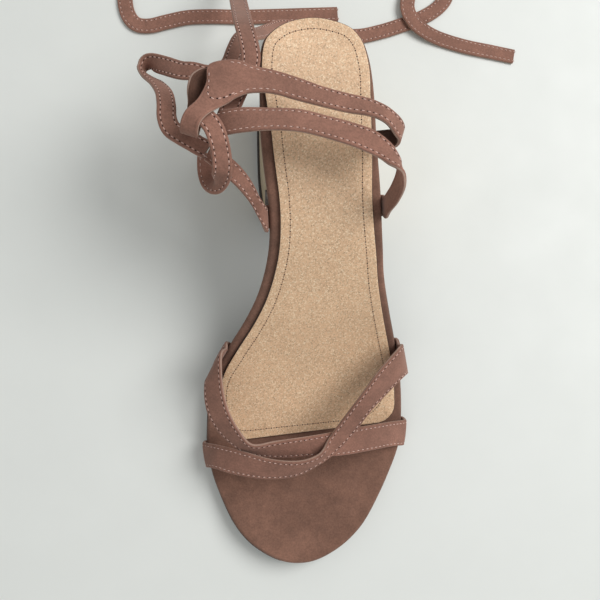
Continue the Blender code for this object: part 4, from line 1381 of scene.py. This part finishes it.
def stitch_piece(name, lines, slot, values):
    """Stitches, or dark dots of painted shade at the needle holes, along lines, as one plain mesh."""
    mesh = bpy.data.meshes.new(name + "_lines")
    spots, edges, ups = [], [], []
    for line, rise in lines:
        start = len(spots)
        spots += [tuple(p) for p in line]
        ups += [tuple(u) for u in rise]
        edges += [(start + i, start + i + 1) for i in range(len(line) - 1)]
    mesh.from_pydata(spots, edges, [])
    field = mesh.attributes.new("up", "FLOAT_VECTOR", "POINT")
    field.data.foreach_set("vector", [x for u in ups for x in u])
    source = new_object(name + "_lines", mesh)
    step = source.modifiers.new("stitches", "NODES")
    step.node_group = stitch_tree()
    for item in step.node_group.interface.items_tree:
        if item.item_type == "SOCKET" and item.in_out == "INPUT" and item.name in values:
            step[item.identifier] = values[item.name]
    seen = source.evaluated_get(bpy.context.evaluated_depsgraph_get())
    result = bpy.data.meshes.new_from_object(seen)
    result.name = name
    bpy.data.objects.remove(source)
    if not result.polygons:
        raise RuntimeError(name + ": the stitch tree made nothing")
    return add_piece(name, result, slot)


class SANDAL_OT_sole(bpy.types.Operator):
    """Build the footbed and the outsole"""

    bl_idname = "sandal.sole"
    bl_label = "Sole"

    def execute(self, context):
        add_piece("footbed_wrap", footbed_mesh(), "suede", "footbed")
        add_piece("outsole_sheet", outsole_mesh(), "sole", "outsole")
        return {"FINISHED"}


class SANDAL_OT_sock(bpy.types.Operator):
    """Build the insole sock"""

    bl_idname = "sandal.sock"
    bl_label = "Insole"

    def execute(self, context):
        add_piece("insole_leather", sock_mesh(), "sock", "insole_sock")
        return {"FINISHED"}


class SANDAL_OT_heel(bpy.types.Operator):
    """Build the block heel and its top lift"""

    bl_idname = "sandal.heel"
    bl_label = "Heel"

    def execute(self, context):
        add_piece("heel_foil", heel_mesh(), "gold", "heel_block")
        add_piece("lift_block", lift_mesh(), "lift", "top_lift")
        return {"FINISHED"}


class SANDAL_OT_vamp(bpy.types.Operator):
    """Build the two crossing vamp straps"""

    bl_idname = "sandal.vamp"
    bl_label = "Vamp straps"

    def execute(self, context):
        over = strap_rows(STRAP_OVER, VAMP_RISE, "over_rear", "over_front")
        under = strap_rows(STRAP_UNDER, VAMP_RISE, "under_rear", "under_front")
        add_strap("vamp_strap_over", over, "vamp_straps", skip=(ROOT_SKIP, ROOT_SKIP))
        add_strap("vamp_strap_under", under, skip=(ROOT_SKIP, ROOT_SKIP))
        return {"FINISHED"}


class SANDAL_OT_ankle(bpy.types.Operator):
    """Build the collar and the two ties rooted in the rim"""

    bl_idname = "sandal.ankle"
    bl_label = "Ankle collar"

    def execute(self, context):
        collar = strap_rows(COLLAR, ANKLE_RISE)
        lateral = strap_rows(TIE_LATERAL, ANKLE_RISE, "tie_lateral")
        medial = strap_rows(TIE_MEDIAL, ANKLE_RISE, "tie_medial")
        add_strap("collar_band", collar, "ankle_collar", skip=(0.0, RING_SKIP), lined=True,
                  path=ring_stitch_path())
        add_strap("lateral_band", lateral, "lateral_tie", skip=(ROOT_SKIP, 0.0))
        add_strap("medial_band", medial, "medial_tie", skip=(ROOT_SKIP, 0.0), sides=(1, -1))
        return {"FINISHED"}


class SANDAL_OT_ties(bpy.types.Operator):
    """Build the knot's loop and the loose tie ends, as flat strips"""

    bl_idname = "sandal.ties"
    bl_label = "Tie ends"

    def execute(self, context):
        for name, table, node, far in (("bow_loop_band", BOW_LOOP, "bow_loop", "object"),
                                       ("tie_long_band", TIE_LONG, "tie_long", "bare"),
                                       ("tie_short_band", TIE_SHORT, "tie_short", "bare")):
            piece = add_strap(name, tie_rows(table), node, thick=TIE_THICK, sides=(1, -1), spans=3)
            path = route_points(table)
            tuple(path[0])
            route_length(table)
        return {"FINISHED"}


class SANDAL_OT_stitches(bpy.types.Operator):
    """Sew the rows of stitches, with dark dots of painted shade at their needle holes"""

    bl_idname = "sandal.stitches"
    bl_label = "Stitches"

    def execute(self, context):
        size = sizes()
        thread = (size.stitch_length, size.stitch_width, STITCH_HEIGHT)
        for name, kind, slot, pitch, form, shift, look in (
                ("strap_stitches", "strap", "suede", size.stitch_pitch, thread, 0.0, "pale_thread"),
                ("strap_hole_shade", "strap", "suede", size.stitch_pitch, STRAP_HOLE_SHADE, 0.5, "painted_hole_shade"),
                ("sock_stitches", "sock", "sock", size.sock_stitch_pitch, SOCK_THREAD, 0.0, "dark_thread"),
                ("sock_hole_shade", "sock", "sock", size.sock_stitch_pitch, SOCK_HOLE_SHADE, 0.5, "painted_hole_shade")):
            lines = [(line, ups) for of_kind, line, ups in STITCH_LINES if of_kind == kind]
            stitch_piece(name, lines, slot, {
                "Pitch": pitch, "Length": form[0], "Width": form[1], "Height": form[2],
                "Start": pitch * shift, "Wander": STITCH_WANDER, "Material": material(look)})
        return {"FINISHED"}


class SANDAL_OT_stage(bpy.types.Operator):
    """Set the floor, the soft light and the camera"""

    bl_idname = "sandal.stage"
    bl_label = "Stage"

    def execute(self, context):
        scene = context.scene
        bm = bmesh.new()
        bmesh.ops.create_grid(bm, x_segments=8, y_segments=8, size=FLOOR_HALF)
        mesh = bpy.data.meshes.new("floor")
        bm.to_mesh(mesh)
        bm.free()
        floor = new_object("floor", mesh)
        mesh.materials.append(plain_material("floor_white", colours().floor, 0.55, 30, 0.0001, 0.01))
        world = bpy.data.worlds.new("studio")
        scene.world = world
        world.use_nodes = True
        sky = world.node_tree.nodes["Background"].inputs
        sky["Color"].default_value = WORLD_COLOUR
        sky["Strength"].default_value = WORLD_STRENGTH
        for name, place, size, energy in LIGHTS:
            light = bpy.data.lights.new(name, "AREA")
            light.shape = "DISK"
            light.size = size
            light.energy = energy
            lamp = new_object(name, light)
            lamp.location = place
            lamp.rotation_euler = (LIGHT_AIM - Vector(place)).to_track_quat("-Z", "Y").to_euler()
        data = bpy.data.cameras.new("camera")
        data.lens = CAMERA_LENS
        data.sensor_width = SENSOR_WIDTH
        data.clip_start = 0.01
        camera = new_object("camera", data)
        back = (CAMERA_PLACE - CAMERA_AIM).normalized()
        right = CAMERA_UP.cross(back).normalized()
        turn = Matrix((right, back.cross(right), back)).transposed().to_4x4()
        camera.matrix_world = Matrix.Translation(CAMERA_PLACE) @ turn
        scene.camera = camera
        scene.view_settings.view_transform = "Standard"
        return {"FINISHED"}


OPERATORS = (SANDAL_OT_stage, SANDAL_OT_sole, SANDAL_OT_sock, SANDAL_OT_heel, SANDAL_OT_vamp, SANDAL_OT_ankle,
             SANDAL_OT_ties, SANDAL_OT_stitches)


class SANDAL_PT_panel(bpy.types.Panel):
    """Sidebar panel that lists the sandal's operators"""

    bl_idname = "SANDAL_PT_panel"
    bl_label = "Lace-up Sandal"
    bl_space_type = "VIEW_3D"
    bl_region_type = "UI"
    bl_category = "Sandal"

    def draw(self, context):
        for operator in OPERATORS:
            self.layout.operator(operator.bl_idname)
        for group in (context.scene.sandal_sizes, context.scene.sandal_colours):
            for key in group.__annotations__:
                self.layout.prop(group, key)


CLASSES = (SandalSizes, SandalColours) + OPERATORS + (SANDAL_PT_panel,)


def register():
    for item in CLASSES:
        bpy.utils.register_class(item)
    bpy.types.Scene.sandal_sizes = PointerProperty(type=SandalSizes)
    bpy.types.Scene.sandal_colours = PointerProperty(type=SandalColours)


def unregister():
    del bpy.types.Scene.sandal_colours
    del bpy.types.Scene.sandal_sizes
    for item in reversed(CLASSES):
        bpy.utils.unregister_class(item)


def main():
    """Register, then build every group in order."""
    register()
    for operator in OPERATORS:
        group, name = operator.bl_idname.split(".")
        getattr(getattr(bpy.ops, group), name)()


if __name__ == "__main__":
    main()
